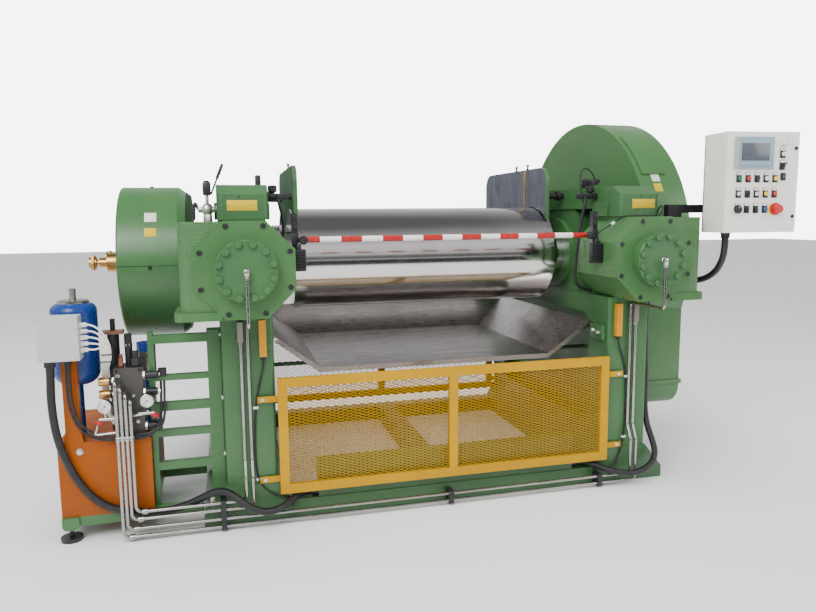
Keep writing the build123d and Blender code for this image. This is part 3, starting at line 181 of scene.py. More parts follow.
def painted(name, colour, shade, rough=0.3, peel=0.25, cast=0.0, smooth_before=None, seam=None, shine=0.5):
    """Enamel: cloudy colour, fine dirt, darker towards the floor, orange peel, and the lumps of a casting
    where it has them.
    """
    f = Finish(name)
    cloud = f.patches(2.2, 5, 0.38, 0.66)
    tone = f.mix(cloud, colour, shade)
    dust = f.patches(31, 6, 0.56, 0.78, 0.0, 0.45)
    dull = tuple(0.55 * value + 0.03 for value in shade)
    tone = f.mix(dust, tone, dull)
    height = f.axis(f.place, "Z")
    # darker towards the floor: below 0.28 m the colour is mixed towards a darker copy of the shade, up to 45%
    # at the bottom
    darkened_near_floor = f.between(height, 0.02, 0.28, 0.45, 0.0)
    tone = f.mix(darkened_near_floor, tone, tuple(0.5 * value + 0.02 for value in shade))
    if seam:
        offset = f.calc("ABSOLUTE", f.calc("SUBTRACT", height, seam))
        tone = f.mix(f.between(offset, 0.0012, 0.0022, 1.0, 0.0), tone, BLACK)
    f.set(Base_Color=tone)
    f.set(Roughness=f.patches(9, 4, 0.3, 0.75, rough, rough + 0.16), Specular_IOR_Level=shine)
    under = f.bump(f.noise(380, 2), peel, 0.0006)
    if cast:
        strength = cast
        if smooth_before is not None:
            depth = f.axis(f.place, "Y")
            strength = f.between(depth, smooth_before, smooth_before + 0.001, 0.04, cast)
        f.bump(f.noise(125, 2), strength, 0.004, under)
    return f.material


def steel(name, colour, shade, rough, streak, lay, spots, metal=1.0):
    """Bare metal with streaks, faint stains and dull spots; lay is the streaks' scale along each axis."""
    f = Finish(name)
    streaks = f.noise(1.0, 4, f.stretched(lay))
    stain = f.patches(3.5, 6, 0.45, 0.72)
    f.set(Base_Color=f.mix(f.calc("MULTIPLY", stain, 0.75), colour, shade))
    uneven = f.between(streaks, 0.3, 0.75, rough, rough * 1.7)
    f.set(Roughness=f.calc("ADD", uneven, f.patches(14, 5, 0.45, 0.8, 0.0, spots)), Metallic=metal)
    f.bump(streaks, streak, 0.0004)
    return f.material


def moulded(name, colour, rough, grain=0.2):
    """Plastic or rubber with a fine moulded grain and handling marks."""
    f = Finish(name)
    marks = f.patches(46, 5, 0.5, 0.8, 0.0, 0.5)
    worn = tuple(min(1.0, 0.7 * value + 0.05) for value in colour)
    f.set(Base_Color=f.mix(marks, colour, worn))
    f.uneven(60, 3, rough, rough + 0.15)
    f.bump(f.noise(900, 2), grain, 0.0004)
    return f.material


def ribbed_rubber(name, rings):
    """Black conduit: rings along its length, dusty in places."""
    f = Finish(name)
    wave = f.calc("SINE", f.calc("MULTIPLY", f.axis(f.along, "X"), rings * 2 * math.pi))
    dust = f.patches(12, 5, 0.5, 0.8, 0.0, 0.4)
    f.set(Base_Color=f.mix(dust, (0.01, 0.01, 0.012), (0.04, 0.038, 0.034)))
    f.uneven(25, 3, 0.36, 0.52)
    f.bump(wave, 0.35, 0.0012)
    return f.material


def banded(name):
    """Red and white bands of one width along the safety bar."""
    f = Finish(name)
    turns = f.calc("DIVIDE", f.calc("ADD", f.axis(f.place, "X"), BAND_START), 2 * BAND_WIDTH)
    red = f.calc("LESS_THAN", f.calc("FRACT", turns), 0.5)
    tone = f.mix(red, (0.84, 0.83, 0.8), (0.4, 0.008, 0.008))
    scuff = f.patches(70, 6, 0.58, 0.75, 0.0, 0.35)
    f.set(Base_Color=f.mix(scuff, tone, (0.3, 0.22, 0.2)))
    f.uneven(22, 3, 0.28, 0.42)
    f.bump(f.noise(300, 2), 0.15, 0.0005)
    return f.material


def faced_guide(name):
    """Green plate whose face towards the rolls is bare, blue-grey steel."""
    f = Finish(name)
    inward = f.calc("MULTIPLY", f.axis(f.normal, "X"), f.calc("SIGN", f.axis(f.place, "X")))
    bare = f.calc("LESS_THAN", inward, -0.6)
    streaks = f.noise(1.0, 4, f.stretched((6, 60, 3)))
    metal_tone = f.mix(f.between(streaks, 0.35, 0.7), (0.16, 0.18, 0.24), (0.28, 0.29, 0.34))
    stain = f.patches(7, 5, 0.5, 0.7, 0.0, 0.6)
    metal_tone = f.mix(stain, metal_tone, (0.13, 0.12, 0.13))
    green_tone = f.mix(f.patches(2.2, 5, 0.38, 0.66), GREEN, GREEN_DEEP)
    f.set(Base_Color=f.mix(bare, green_tone, metal_tone))
    f.set(Metallic=f.calc("MULTIPLY", bare, 0.8))
    f.set(Roughness=f.patches(9, 4, 0.3, 0.75, 0.3, 0.46))
    f.bump(f.noise(380, 2), 0.2, 0.0006)
    return f.material


def switch_enamel(name):
    """Yellow-orange guard switches; the pressure switches beyond them are grey."""
    f = Finish(name)
    out = f.calc("ABSOLUTE", f.axis(f.place, "X"))
    grey = f.calc("GREATER_THAN", out, SWITCH_PARTING)
    tone = f.mix(grey, (0.62, 0.27, 0.0), (0.22, 0.2, 0.18))
    worn = f.patches(55, 5, 0.55, 0.75, 0.0, 0.4)
    f.set(Base_Color=f.mix(worn, tone, (0.1, 0.08, 0.05)))
    f.uneven(30, 3, 0.35, 0.5)
    f.bump(f.noise(500, 2), 0.2, 0.0005)
    return f.material


def backed_cream(name, normal, edge):
    """Powder coat, fine textured, with a black back edge."""
    f = Finish(name)
    dot = f.add("VectorMath", Vector=f.place)
    dot.operation = "DOT_PRODUCT"
    dot.inputs[1].default_value = normal
    back = f.between(dot.outputs["Value"], edge, edge + 0.001)
    tone = f.mix(f.patches(3, 4, 0.4, 0.7), CREAM, (0.8, 0.78, 0.73))
    smudge = f.patches(24, 6, 0.6, 0.8, 0.0, 0.3)
    tone = f.mix(smudge, tone, (0.48, 0.46, 0.42))
    f.set(Base_Color=f.mix(back, tone, BLACK))
    f.uneven(18, 3, 0.42, 0.55)
    f.bump(f.noise(700, 2), 0.3, 0.0006)
    return f.material


BAND_START = 0.768
BAND_WIDTH = 0.102
SWITCH_PARTING = 1.0
PANEL_FACE = Vector((1.52, -1.268, 1.64))
PANEL_TURN = math.radians(-5)
PANEL_BACK_EDGE = 0.181
panel_normal = Vector((-math.sin(PANEL_TURN), math.cos(PANEL_TURN), 0))
ROLL_AXIS_Z = 1.258
PLATE_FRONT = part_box("left_cylinder_cover")[1].y

green = painted("green_enamel", GREEN, GREEN_DEEP)
green_cast = painted("green_casting", GREEN, GREEN_DEEP, 0.27, 0.25, 0.35)
green_housing = painted("green_housing", GREEN_PALE, GREEN, 0.27, 0.2, 0.95, PLATE_FRONT + 0.002)
green_seamed = painted("green_seamed_cover", GREEN, GREEN_DEEP, 0.26, 0.2, seam=ROLL_AXIS_Z)
green_cover = painted("green_sheet", GREEN_PALE, GREEN, 0.26, 0.2)
green_bolt = painted("green_bolts", GREEN, GREEN_DEEP, 0.33, 0.4, 0.2)
yellow = painted("yellow_enamel", YELLOW, (0.49, 0.255, 0.0), 0.46, 0.2, shine=0.15)
yellow_plate = moulded("yellow_film", (0.66, 0.46, 0.0), 0.5, 0.08)
orange = painted("orange_enamel", ORANGE, (0.3, 0.066, 0.001), 0.44, 0.25, shine=0.25)
black_paint = painted("black_enamel", BLACK, (0.02, 0.02, 0.022), 0.34, 0.3)
roll_skin = steel("polished_roll", (0.7, 0.67, 0.65), (0.58, 0.55, 0.54), 0.095, 0.08, (420, 3, 3), 0.03)
tray_skin = steel("brushed_tray", (0.5, 0.47, 0.46), (0.4, 0.37, 0.36), 0.22, 0.1, (3, 160, 160), 0.07)
pipe_skin = steel("drawn_pipe", (0.42, 0.41, 0.39), (0.28, 0.26, 0.23), 0.17, 0.15, (4, 250, 250), 0.1)
bright_steel = steel("zinc_steel", (0.72, 0.71, 0.68), (0.52, 0.5, 0.46), 0.22, 0.2, (60, 60, 60), 0.1)
dark_block = steel(
    "blackened_block", (0.11, 0.105, 0.1), (0.06, 0.056, 0.052), 0.34, 0.4, (5, 5, 260), 0.2, 0.85)
brass = steel("turned_brass", (0.66, 0.4, 0.13), (0.42, 0.24, 0.08), 0.24, 0.2, (300, 30, 30), 0.12)
copper = steel("coppered_plate", (0.36, 0.15, 0.09), (0.22, 0.1, 0.07), 0.36, 0.3, (40, 40, 40), 0.2)
black_plastic = moulded("black_plastic", (0.013, 0.013, 0.015), 0.38)
grey_plastic = moulded("grey_plastic", (0.5, 0.51, 0.5), 0.5)
white_plastic = moulded("white_plastic", (0.76, 0.75, 0.71), 0.4)
red_plastic = moulded("red_plastic", (0.55, 0.015, 0.02), 0.25, 0.08)
green_plastic = moulded("green_cap", (0.01, 0.16, 0.05), 0.3, 0.08)
yellow_plastic = moulded("yellow_cap", (0.8, 0.62, 0.02), 0.3, 0.08)
blue_plastic = moulded("blue_cap", (0.02, 0.09, 0.3), 0.3, 0.08)
screen_film = moulded("screen_film", (0.22, 0.33, 0.4), 0.4, 0.1)
screen_edge = moulded("screen_edge", (0.38, 0.38, 0.37), 0.45, 0.2)
screen_glass = moulded("screen_glass", (0.085, 0.1, 0.12), 0.12, 0.02)
rubber = moulded("black_rubber", (0.011, 0.011, 0.012), 0.42, 0.3)
motor_ribs = ribbed_rubber("ribbed_rubber_a", 220)
panel_ribs = ribbed_rubber("ribbed_rubber_b", 260)
cream = backed_cream("cream_powder", panel_normal, PANEL_FACE.dot(panel_normal) + PANEL_BACK_EDGE)
bar_bands = banded("banded_enamel")
guide_face = faced_guide("guide_plate")
switch_skin = switch_enamel("switch_enamel")


def dress(finish, *names):
    """Give CAD nodes a finish."""
    for name in names:
        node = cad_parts[name]
        if not node.material_slots:
            node.data.materials.append(finish)
        for place in node.material_slots:
            place.material = finish


SIDES = ("left", "right")
dress(roll_skin, "front_roll", "back_roll")
for side in SIDES:
    dress(green_cast, *[f"{side}_{part}" for part in ("side_frame", "cap", "front_chock", "back_chock")])
    dress(green_housing, f"{side}_cylinder_housing")
    dress(green_bolt, f"{side}_cylinder_cover")
    dress(guide_face, f"{side}_stock_guide")
dress(green, "base_front_rail", "base_rear_rail", "base_centre_tie", "base_fascia", "tray_arms",
      "service_rack")
dress(green_seamed, "left_gear_cover")
dress(green_cover, "right_gear_cover", "right_gear_sump", "cover_hatch")
dress(tray_skin, "catch_tray")
dress(yellow, "front_guard", "rear_guard", "guard_mesh")
dress(bar_bands, "safety_bar")
dress(black_paint, "bar_levers", "guide_rods", "panel_arm")
dress(bright_steel, "lever_pins", "nip_rams")
dress(brass, "front_rotary_union", "back_rotary_union")
dress(cream, "panel_box", "panel_door")
dress(screen_edge, "panel_screen")
dress(black_plastic, "panel_buttons", "hose_glands", "pipe_clamps")
dress(red_plastic, "stop_button")
dress(orange, "oil_tank", "box_post")
dress(grey_plastic, "terminal_box")
dress(dark_block, "manifold_block")
dress(pipe_skin, "riser_pipes", "floor_pipes", "column_pipes")
dress(switch_skin, "column_switches")
dress(rubber, "motor_hose", "panel_hose")


# Shapes that the pieces are built from

UP, DOWN = Vector((0, 0, 1)), Vector((0, 0, -1))
FRONT, BACK = Vector((0, -1, 0)), Vector((0, 1, 0))
RIGHT, LEFT = Vector((1, 0, 0)), Vector((-1, 0, 0))
SHARP_ANGLE = math.radians(34)


def facing(place, axis):
    """Matrix that carries +Z onto an axis at a place."""
    return Matrix.Translation(Vector(place)) @ Vector(axis).to_track_quat("Z", "Y").to_matrix().to_4x4()


def leaning(place, degrees):
    """Matrix that tips an upright shape sideways at a place."""
    return Matrix.Translation(place) @ Matrix.Rotation(math.radians(degrees), 4, "Y")


def turned(bm, profile, place, axis, sides=24):
    """Profile of (radius, height) points turned about an axis, with its zero height at a place."""
    turn = facing(place, axis)
    rings = []
    for radius, height in profile:
        count = sides if radius > 1e-6 else 1
        angles = [2 * math.pi * i / count for i in range(count)]
        spots = [Vector((radius * math.cos(a), radius * math.sin(a), height)) for a in angles]
        rings.append([bm.verts.new(turn @ spot) for spot in spots])
    for low, high in zip(rings, rings[1:]):
        for i in range(sides):
            j = (i + 1) % sides
            corners = [low[i % len(low)], low[j % len(low)], high[j % len(high)], high[i % len(high)]]
            corners = list(dict.fromkeys(corners))
            if len(corners) > 2:
                bm.faces.new(corners)


def solid(bm, outline, place, axis=UP, sides=24):
    """Turned shape with closed ends."""
    turned(bm, [(0, 0), *outline, (0, outline[-1][1])], place, axis, sides)


def ring(bm, outline, place, axis, sides):
    """Turned shape whose outline ends where it starts."""
    turned(bm, [*outline, outline[0]], place, axis, sides)


def slab(bm, low, high, edge, turn=None):
    """Box between two corners with rounded edges."""
    low, high = Vector(low), Vector(high)
    made = bmesh.ops.create_cube(bm, size=1)["verts"]
    for vert in made:
        spot = Vector([(high[i] - low[i]) * vert.co[i] + (high[i] + low[i]) / 2 for i in range(3)])
        vert.co = turn @ spot if turn else spot
    edges = list({e for vert in made for e in vert.link_edges})
    bmesh.ops.bevel(bm, geom=edges, offset=edge, segments=2, affect="EDGES", profile=0.5, clamp_overlap=True)


def disc(bm, place, axis, radius, height, sides=24, ease=0.15):
    """Short round or many-sided boss with an eased edge."""
    small = radius - min(height, radius) * ease
    solid(bm, [(radius, 0), (radius, height * (1 - ease)), (small, height)], place, axis, sides)


def hexagon(bm, place, axis, across, height):
    """Hexagon head or nut on a thin washer."""
    radius = across / 2 / math.cos(math.pi / 6)
    disc(bm, place, axis, across * 0.66, height * 0.18, 20)
    solid(bm, [(radius, 0), (radius, height * 0.86), (radius * 0.88, height)], place, axis, 6)


def socket_screw(bm, place, axis, radius, height):
    """Round screw head with a sunk socket."""
    outline = [(radius, 0), (radius, height * 0.7), (radius * 0.88, height), (radius * 0.52, height),
               (radius * 0.46, height * 0.35)]
    solid(bm, outline, place, axis, 18)


def meshes(count):
    """Empty meshes to build pieces in."""
    return [bmesh.new() for _ in range(count)]


def placed(name, data, finish, body="frame"):
    """Object with a finish, riding on a body."""
    data.materials.append(finish)
    made = new_object(name, data)
    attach(made, body)
    return made


def piece(name, bm, finish, body="frame"):
    """Finished object from a mesh being built."""
    bmesh.ops.recalc_face_normals(bm, faces=bm.faces)
    mesh = bpy.data.meshes.new(name)
    bm.to_mesh(mesh)
    bm.free()
    mesh.shade_smooth()
    mesh.set_sharp_from_angle(angle=SHARP_ANGLE)
    return placed(name, mesh, finish, body)


def lines(name, routes, diameter, finish):
    """Round tubes along smooth lines with these control points."""
    data = bpy.data.curves.new(name, "CURVE")
    data.dimensions = "3D"
    data.bevel_depth = diameter / 2
    data.bevel_resolution = 4
    data.use_fill_caps = True
    data.resolution_u = 8
    for route in routes:
        line = data.splines.new("NURBS")
        line.points.add(len(route) - 1)
        for spot, place in zip(line.points, route):
            spot.co = (*place, 1)
        line.order_u = 3
        line.use_endpoint_u = True
    return placed(name, data, finish)


def line_length(made):
    """Length of a curve's own line."""
    bare = bpy.data.objects.new("bare_line", made.data.copy())
    bare.data.bevel_depth = 0
    mesh = bpy.data.meshes.new_from_object(bare)
    spots = [vert.co.copy() for vert in mesh.vertices]
    bpy.data.meshes.remove(mesh)
    bpy.data.curves.remove(bare.data)
    return sum((after - before).length for before, after in zip(spots, spots[1:]))


def lead(name, route, diameter, finish=rubber):
    """Free lead between two pieces along a smooth line; its own length is worked out but not kept."""
    made = lines(name, [route], diameter, finish)
    round(line_length(made), 3)


# Hoses that hang and lie free, along the routes of their CAD tubes

MOTOR_HOSE_D = 0.036
PANEL_HOSE_D = 0.034

motor_route = [
    (-1.874, -0.934, 0.84), (-1.874, -0.934, 0.796), (-1.881, -0.931, 0.69), (-1.874, -0.924, 0.54),
    (-1.848, -0.917, 0.42), (-1.803, -0.913, 0.305), (-1.736, -0.913, 0.207), (-1.648, -0.913, 0.145),
    (-1.54, -0.913, 0.118), (-1.425, -0.914, 0.113), (-1.335, -0.921, 0.132), (-1.258, -0.936, 0.168),
    (-1.19, -0.952, 0.2), (-1.135, -0.972, 0.196), (-1.085, -0.994, 0.158), (-1.035, -1.001, 0.116),
    (-0.975, -1.0, 0.088), (-0.916, -0.993, 0.088), (-0.866, -0.968, 0.101), (-0.812, -0.912, 0.118),
    (-0.774, -0.868, 0.12), (-0.73, -0.868, 0.12),
]
panel_route = [
    (1.40007, -1.17017, 1.36), (1.40007, -1.17017, 1.316), (1.406, -1.152, 1.252), (1.42, -1.095, 1.19),
    (1.425, -1.035, 1.153), (1.425, -0.975, 1.13), (1.42, -0.912, 1.118), (1.394, -0.856, 1.11),
    (1.346, -0.814, 1.102), (1.283, -0.798, 1.086), (1.228, -0.798, 1.046), (1.191, -0.806, 0.984),
    (1.174, -0.824, 0.892), (1.17, -0.842, 0.74), (1.172, -0.852, 0.56), (1.17, -0.856, 0.4),
    (1.176, -0.874, 0.306), (1.188, -0.908, 0.232), (1.184, -0.955, 0.172), (1.148, -0.991, 0.122),
    (1.086, -0.999, 0.086), (1.01, -0.997, 0.072), (0.946, -0.994, 0.082), (0.886, -0.976, 0.096),
    (0.816, -0.908, 0.116), (0.774, -0.868, 0.12), (0.73, -0.868, 0.12),
]

motor_conduit = lines("motor_conduit", [motor_route], MOTOR_HOSE_D, motor_ribs)
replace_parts(motor_conduit, "motor_hose")
panel_conduit = lines("panel_conduit", [panel_route], PANEL_HOSE_D, panel_ribs)
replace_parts(panel_conduit, "panel_hose")


# Expanded mesh in the guards

MESH_LONG = 0.043
MESH_SHORT = 0.0143
STRAND_WIDTH = 0.0038
STRAND_THICKNESS = 0.0015
STRAND_TILT = math.radians(38)
GUARD_MID_HALF = 0.023


def mesh_rows(verts, faces, x0, x1, y, z0, z1):
    """Zigzag strands that meet each other at every second corner."""
    flat = Vector((0, -math.sin(STRAND_TILT), math.cos(STRAND_TILT))) * STRAND_WIDTH / 2
    thick = Vector((0, math.cos(STRAND_TILT), math.sin(STRAND_TILT))) * STRAND_THICKNESS / 2
    rows = round((z1 - z0) / (MESH_SHORT / 2))
    columns = round((x1 - x0) / (MESH_LONG / 2))
    for row in range(rows):
        base = len(verts)
        for column in range(columns + 1):
            swing = MESH_SHORT / 4 * (1 if (row + column) % 2 else -1)
            z = z0 + (row + 0.5) * (z1 - z0) / rows + swing
            spot = Vector((x0 + column * (x1 - x0) / columns, y, z))
            verts.extend([spot - flat - thick, spot + flat - thick, spot + flat + thick, spot - flat + thick])
        for column in range(columns):
            a = base + 4 * column
            for i in range(4):
                j = (i + 1) % 4
                faces.append((a + i, a + j, a + 4 + j, a + 4 + i))


def expanded_mesh():
    low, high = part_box("guard_mesh")
    verts, faces = [], []
    for y in (low.y + STRAND_THICKNESS, high.y - STRAND_THICKNESS):
        for x0, x1 in ((low.x, -GUARD_MID_HALF), (GUARD_MID_HALF, high.x)):
            mesh_rows(verts, faces, x0, x1, y, low.z, high.z)
    mesh = bpy.data.meshes.new("expanded_mesh")
    mesh.from_pydata([tuple(v) for v in verts], [], faces)
    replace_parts(placed("expanded_mesh", mesh, yellow), "guard_mesh")


expanded_mesh()


# Nip cylinder heads

COVER_BOLTS = 12
COVER_BOLT_CIRCLE = 0.119
PLATE_SCREWS = ((0.08, 0.193), (0.193, 0.08), (0.193, -0.08), (0.08, -0.193))


def middle_of(name):
    """Middle of a CAD node's box."""
    low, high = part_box(name)
    return (low + high) / 2


def head_centre(side):
    """Middle of a round cover's front face."""
    name = f"{side}_cylinder_cover"
    middle = middle_of(name)
    middle.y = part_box(name)[0].y
    return middle


def cover_bolts():
    bm = bmesh.new()
    for side in SIDES:
        middle = head_centre(side)
        for i in range(COVER_BOLTS):
            turn = 2 * math.pi * (i + 0.5) / COVER_BOLTS
            reach = Vector((math.cos(turn), 0, math.sin(turn))) * COVER_BOLT_CIRCLE
            hexagon(bm, middle + reach, FRONT, 0.03, 0.015)
    piece("cover_bolts", bm, green_bolt)


def plate_screws():
    rims, heads = meshes(2)
    for side in SIDES:
        middle = head_centre(side)
        for x, z in PLATE_SCREWS:
            for mirror in (-1, 1):
                place = Vector((middle.x + mirror * x, PLATE_FRONT, middle.z + z))
                ring(rims, [(0.0125, 0), (0.0165, 0), (0.015, 0.002), (0.0125, 0.0022)], place, FRONT, 20)
                socket_screw(heads, place, FRONT, 0.0122, 0.0012)
    piece("plate_screw_rims", rims, green_bolt)
    piece("plate_screws", heads, black_plastic)


def head_fittings():
    """Union fittings where the pipes enter the cover centres and pass under the housings."""
    bm = bmesh.new()
    pipe_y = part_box("column_pipes")[0].y + 0.008
    for side in SIDES:
        middle = head_centre(side)
        disc(bm, middle, FRONT, 0.014, 0.012, 6)
        corner = Vector((middle.x, pipe_y, middle.z))
        slab(bm, corner - Vector((0.0115, 0.008, 0.014)), corner + Vector((0.0115, 0.0115, 0.01)), 0.004)
        disc(bm, corner - UP * 0.036, UP, 0.0115, 0.022, 6)
    piece("head_fittings", bm, bright_steel)


def cap_plates():
    """Blank yellow plates on the cap fronts, and small plugs above them."""
    plates, plugs = meshes(2)
    for side, x in (("left", -1.022), ("right", 1.041)):
        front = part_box(f"{side}_cap")[0].y
        slab(plates, (x - 0.067, front - 0.0012, 1.519), (x + 0.067, front, 1.566), 0.0005)
        for offset in (-0.06, 0.06):
            disc(plugs, (x + offset, front - 0.001, 1.5425), FRONT, 0.0022, 0.0012, 10)
        disc(plugs, (x - 0.014, front, 1.581), FRONT, 0.0045, 0.001, 14)
    piece("cap_plates", plates, yellow_plate)
    piece("cap_plugs", plugs, black_plastic)


def cap_fittings():
    """Black plug on the left cap and the limit switch on the right one."""
    bm = bmesh.new()
    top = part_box("left_cap")[1].z
    slab(bm, (-0.945, -0.62, top), (-0.917, -0.592, top + 0.058), 0.003)
    disc(bm, (-0.931, -0.606, top + 0.058), UP, 0.011, 0.004, 16)
    slab(bm, (0.91, -0.58, top), (0.975, -0.545, top + 0.052), 0.004)
    slab(bm, (0.975, -0.574, top + 0.02), (1.004, -0.55, top + 0.058), 0.004)
    disc(bm, (0.996, -0.562, top + 0.036), Vector((0.7, 0, 0.7)), 0.015, 0.018, 20)
    slab(bm, (0.93, -0.59, top + 0.004), (0.952, -0.58, top + 0.044), 0.003)
    disc(bm, (0.941, -0.592, top + 0.038), FRONT, 0.009, 0.008, 16)
    piece("cap_switches", bm, black_plastic)
    lead("limit_switch_lead", [
        (0.985, -0.562, top + 0.058), (0.968, -0.564, top + 0.092), (0.925, -0.572, top + 0.118),
        (0.884, -0.585, top + 0.098), (0.872, -0.6, top + 0.04), (0.876, -0.61, top - 0.04),
        (0.8925, -0.612, top - 0.085),
    ], 0.008)


cover_bolts()
plate_screws()
head_fittings()
cap_plates()
cap_fittings()


# Shut-off valve on the left housing

def left_valve():
    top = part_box("left_cylinder_housing")[1].z
    x, y = -1.175, -0.905
    parts, knob = meshes(2)
    disc(parts, (x, y, top - 0.008), UP, 0.02, 0.034, 6)
    solid(parts, [(0.014, 0), (0.024, 0.012), (0.026, 0.026), (0.024, 0.04), (0.014, 0.052)],
          (x, y, top + 0.022))
    disc(parts, (x + 0.02, y, top + 0.048), RIGHT, 0.017, 0.03, 6)
    disc(parts, (x - 0.02, y, top + 0.048), LEFT, 0.017, 0.022, 6)
    disc(parts, (x, y, top + 0.072), UP, 0.008, 0.05, 16)
    piece("valve_body", parts, bright_steel)
    slab(knob, (x - 0.018, y - 0.018, top + 0.112), (x + 0.018, y + 0.018, top + 0.172), 0.005)
    disc(knob, (x, y, top + 0.172), UP, 0.012, 0.006, 20)
    lean = leaning((x + 0.018, y, top + 0.115), 22)
    slab(knob, (-0.004, -0.01, 0.0), (0.004, 0.01, 0.125), 0.003, lean)
    slab(knob, (-0.007, -0.013, 0.075), (0.007, 0.013, 0.15), 0.006, lean)
    piece("valve_lever", knob, black_plastic)
    lines("valve_pipe", [[
        (x - 0.04, y, top + 0.048), (x - 0.046, y, top + 0.06), (x - 0.05, y, top + 0.074),
        (x - 0.056, y, top + 0.074), (x - 0.06, y, top + 0.06), (x - 0.06, y, top)]],
        0.014, black_paint)


left_valve()


# Guide adjusters between the caps and the stock guides, with their hoses

ROD_Z = 1.6


def guide_adjusters():
    rod_low, rod_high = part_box("guide_rods")
    bm = bmesh.new()
    for side in (-1, 1):
        x0, x1 = sorted((side * 0.905, side * 0.792))
        slab(bm, (x0, -0.745, 1.573), (x1, -0.7, 1.603), 0.004)
        solid(bm, [(0.012, 0), (0.012, 0.008), (0.022, 0.014), (0.023, 0.036), (0.017, 0.044)],
              (side * 0.868, -0.722, ROD_Z), UP, 14)
    for x in (rod_low.x + 0.02, rod_high.x - 0.05):
        for y in (rod_low.y + 0.017, rod_high.y - 0.017):
            disc(bm, (x, y, ROD_Z), RIGHT, 0.027, 0.03, 28)
    piece("guide_adjusters", bm, black_plastic)
    lines("adjuster_hoses", [
        [(-0.85, -0.735, 1.585), (-0.846, -0.765, 1.58), (-0.836, -0.775, 1.535), (-0.822, -0.76, 1.47),
         (-0.82, -0.745, 1.4), (-0.84, -0.725, 1.32), (-0.885, -0.72, 1.27), (-0.9, -0.72, 1.262)],
        [(0.822, -0.735, 1.59), (0.82, -0.765, 1.585), (0.808, -0.775, 1.535), (0.792, -0.765, 1.44),
         (0.78, -0.76, 1.32), (0.772, -0.755, 1.2), (0.776, -0.74, 1.13), (0.81, -0.722, 1.085),
         (0.87, -0.715, 1.062), (0.9, -0.712, 1.058)],
    ], 0.017, rubber)


guide_adjusters()


# Safety bar ends

def bar_ends():
    low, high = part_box("bar_levers")
    bar_z = middle_of("safety_bar").z
    clamps, blocks, fitting = meshes(3)
    for side in (-1, 1):
        outer = side * high.x
        solid(clamps, [(0.019, 0), (0.019, 0.006), (0.014, 0.01), (0.014, 0.022), (0.02, 0.026),
                       (0.021, 0.04), (0.016, 0.046)],
              (outer - side * 0.048, low.y - 0.002, bar_z - 0.001), FRONT, 16)
        x = outer - side * 0.013
        for z in (1.478, 1.44):
            disc(clamps, (x, low.y, z), FRONT, 0.01, 0.008, 6)
        slab(clamps, (x - 0.016, low.y - 0.006, bar_z - 0.03),
             (x + 0.016, low.y + 0.001, bar_z + 0.03), 0.003)
    piece("bar_clamps", clamps, black_plastic, "safety_bar")
    for side in (-1, 1):
        face = side * 0.803
        x0, x1 = sorted((face, face - side * 0.062))
        slab(blocks, (x0, -0.99, 1.236), (x1, -0.95, 1.338), 0.004)
        for row in range(7):
            z = 1.246 + 0.0135 * row
            slab(blocks, (x0 - 0.001, -0.995, z), (x1 + 0.001, -0.99, z + 0.007), 0.0018)
        disc(blocks, ((x0 + x1) / 2, -0.97, 1.338), UP, 0.012, 0.026, 16)
    piece("bar_switches", blocks, black_plastic)
    lead("bar_switch_lead", [
        (0.772, -0.97, 1.364), (0.774, -0.972, 1.386), (0.8, -0.99, 1.412), (0.838, -1.004, 1.436),
        (0.88, -1.008, 1.462), (0.918, -1.002, 1.4785), (0.975, -0.998, 1.4785), (1.06, -0.998, 1.4785),
        (1.12, -0.998, 1.479), (1.15, -0.99, 1.498), (1.155, -0.975, 1.535), (1.152, -0.95, 1.52),
        (1.15, -0.935, 1.49), (1.15, -0.932, 1.4705),
    ], 0.007)
    disc(fitting, (0.838, -1.004, 1.436), Vector((0.8, 0, 0.45)), 0.0085, 0.02, 8)
    piece("lead_connector", fitting, white_plastic)


bar_ends()


# Places on the surface of CAD nodes

def on_surface(start, direction, *names):
    """First place, and the outward direction there, that a line from a start meets on these nodes."""
    start, direction = Vector(start), Vector(direction).normalized()
    best = None
    for name in names:
        hit, place, normal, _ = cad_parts[name].ray_cast(start, direction)
        if hit and (best is None or (place - start).length < (best[0] - start).length):
            best = (place, normal)
    return best


def plate_on(bm, start, direction, width, height, *names):
    """Thin blank plate lying on a surface, upright."""
    found = on_surface(start, direction, *names)
    if found is None:
        return
    place, normal = found
    across = UP.cross(normal).normalized()
    turn = Matrix((across, normal.cross(across), normal)).transposed().to_4x4()
    slab(bm, (-width / 2, -height / 2, -0.001), (width / 2, height / 2, 0.0012), 0.0005,
         Matrix.Translation(place) @ turn)


# Operator panel

BUTTON_X = -0.128
BUTTON_Z = 0.02
BUTTON_STEP = 0.05
ROW_STEP = 0.076
CONTROLS = (
    ("green", "red", "black", "white", "yellow"),
    ("white turn", "black turn", "white turn", "yellow", "red"),
    ("knob", "rocker", "rocker", "blue", "stop"),
)
SIDE_X = 0.108
LAMP_Z = 0.198
SIDE_CONTROLS = (("white", 0.141), ("lever", 0.082))

panel_place = Matrix.Translation(PANEL_FACE) @ Matrix.Rotation(PANEL_TURN, 4, "Z")
PANEL_OUT = -panel_normal
cap_finishes = {
    "green": green_plastic, "red": red_plastic, "black": black_plastic,
    "white": white_plastic, "yellow": yellow_plastic, "blue": blue_plastic,
}


def on_panel(x, z, out=0.0):
    return panel_place @ Vector((x, -out, z))


def panel_slab(bm, x, half, z, down, up, near, far, edge=0.001):
    """Slab about a place in the door's own plane; near and far are its heights above the face."""
    slab(bm, (x - half, -far, z - down), (x + half, -near, z + up), edge, panel_place)


def panel_key(bm, x, z, degrees, half, low, high, edge):
    """Upright handle on a cap, leaned by some degrees."""
    slab(bm, (-half, -0.003, low), (half, 0.003, high), edge, panel_place @ leaning((x, -0.011, z), degrees))


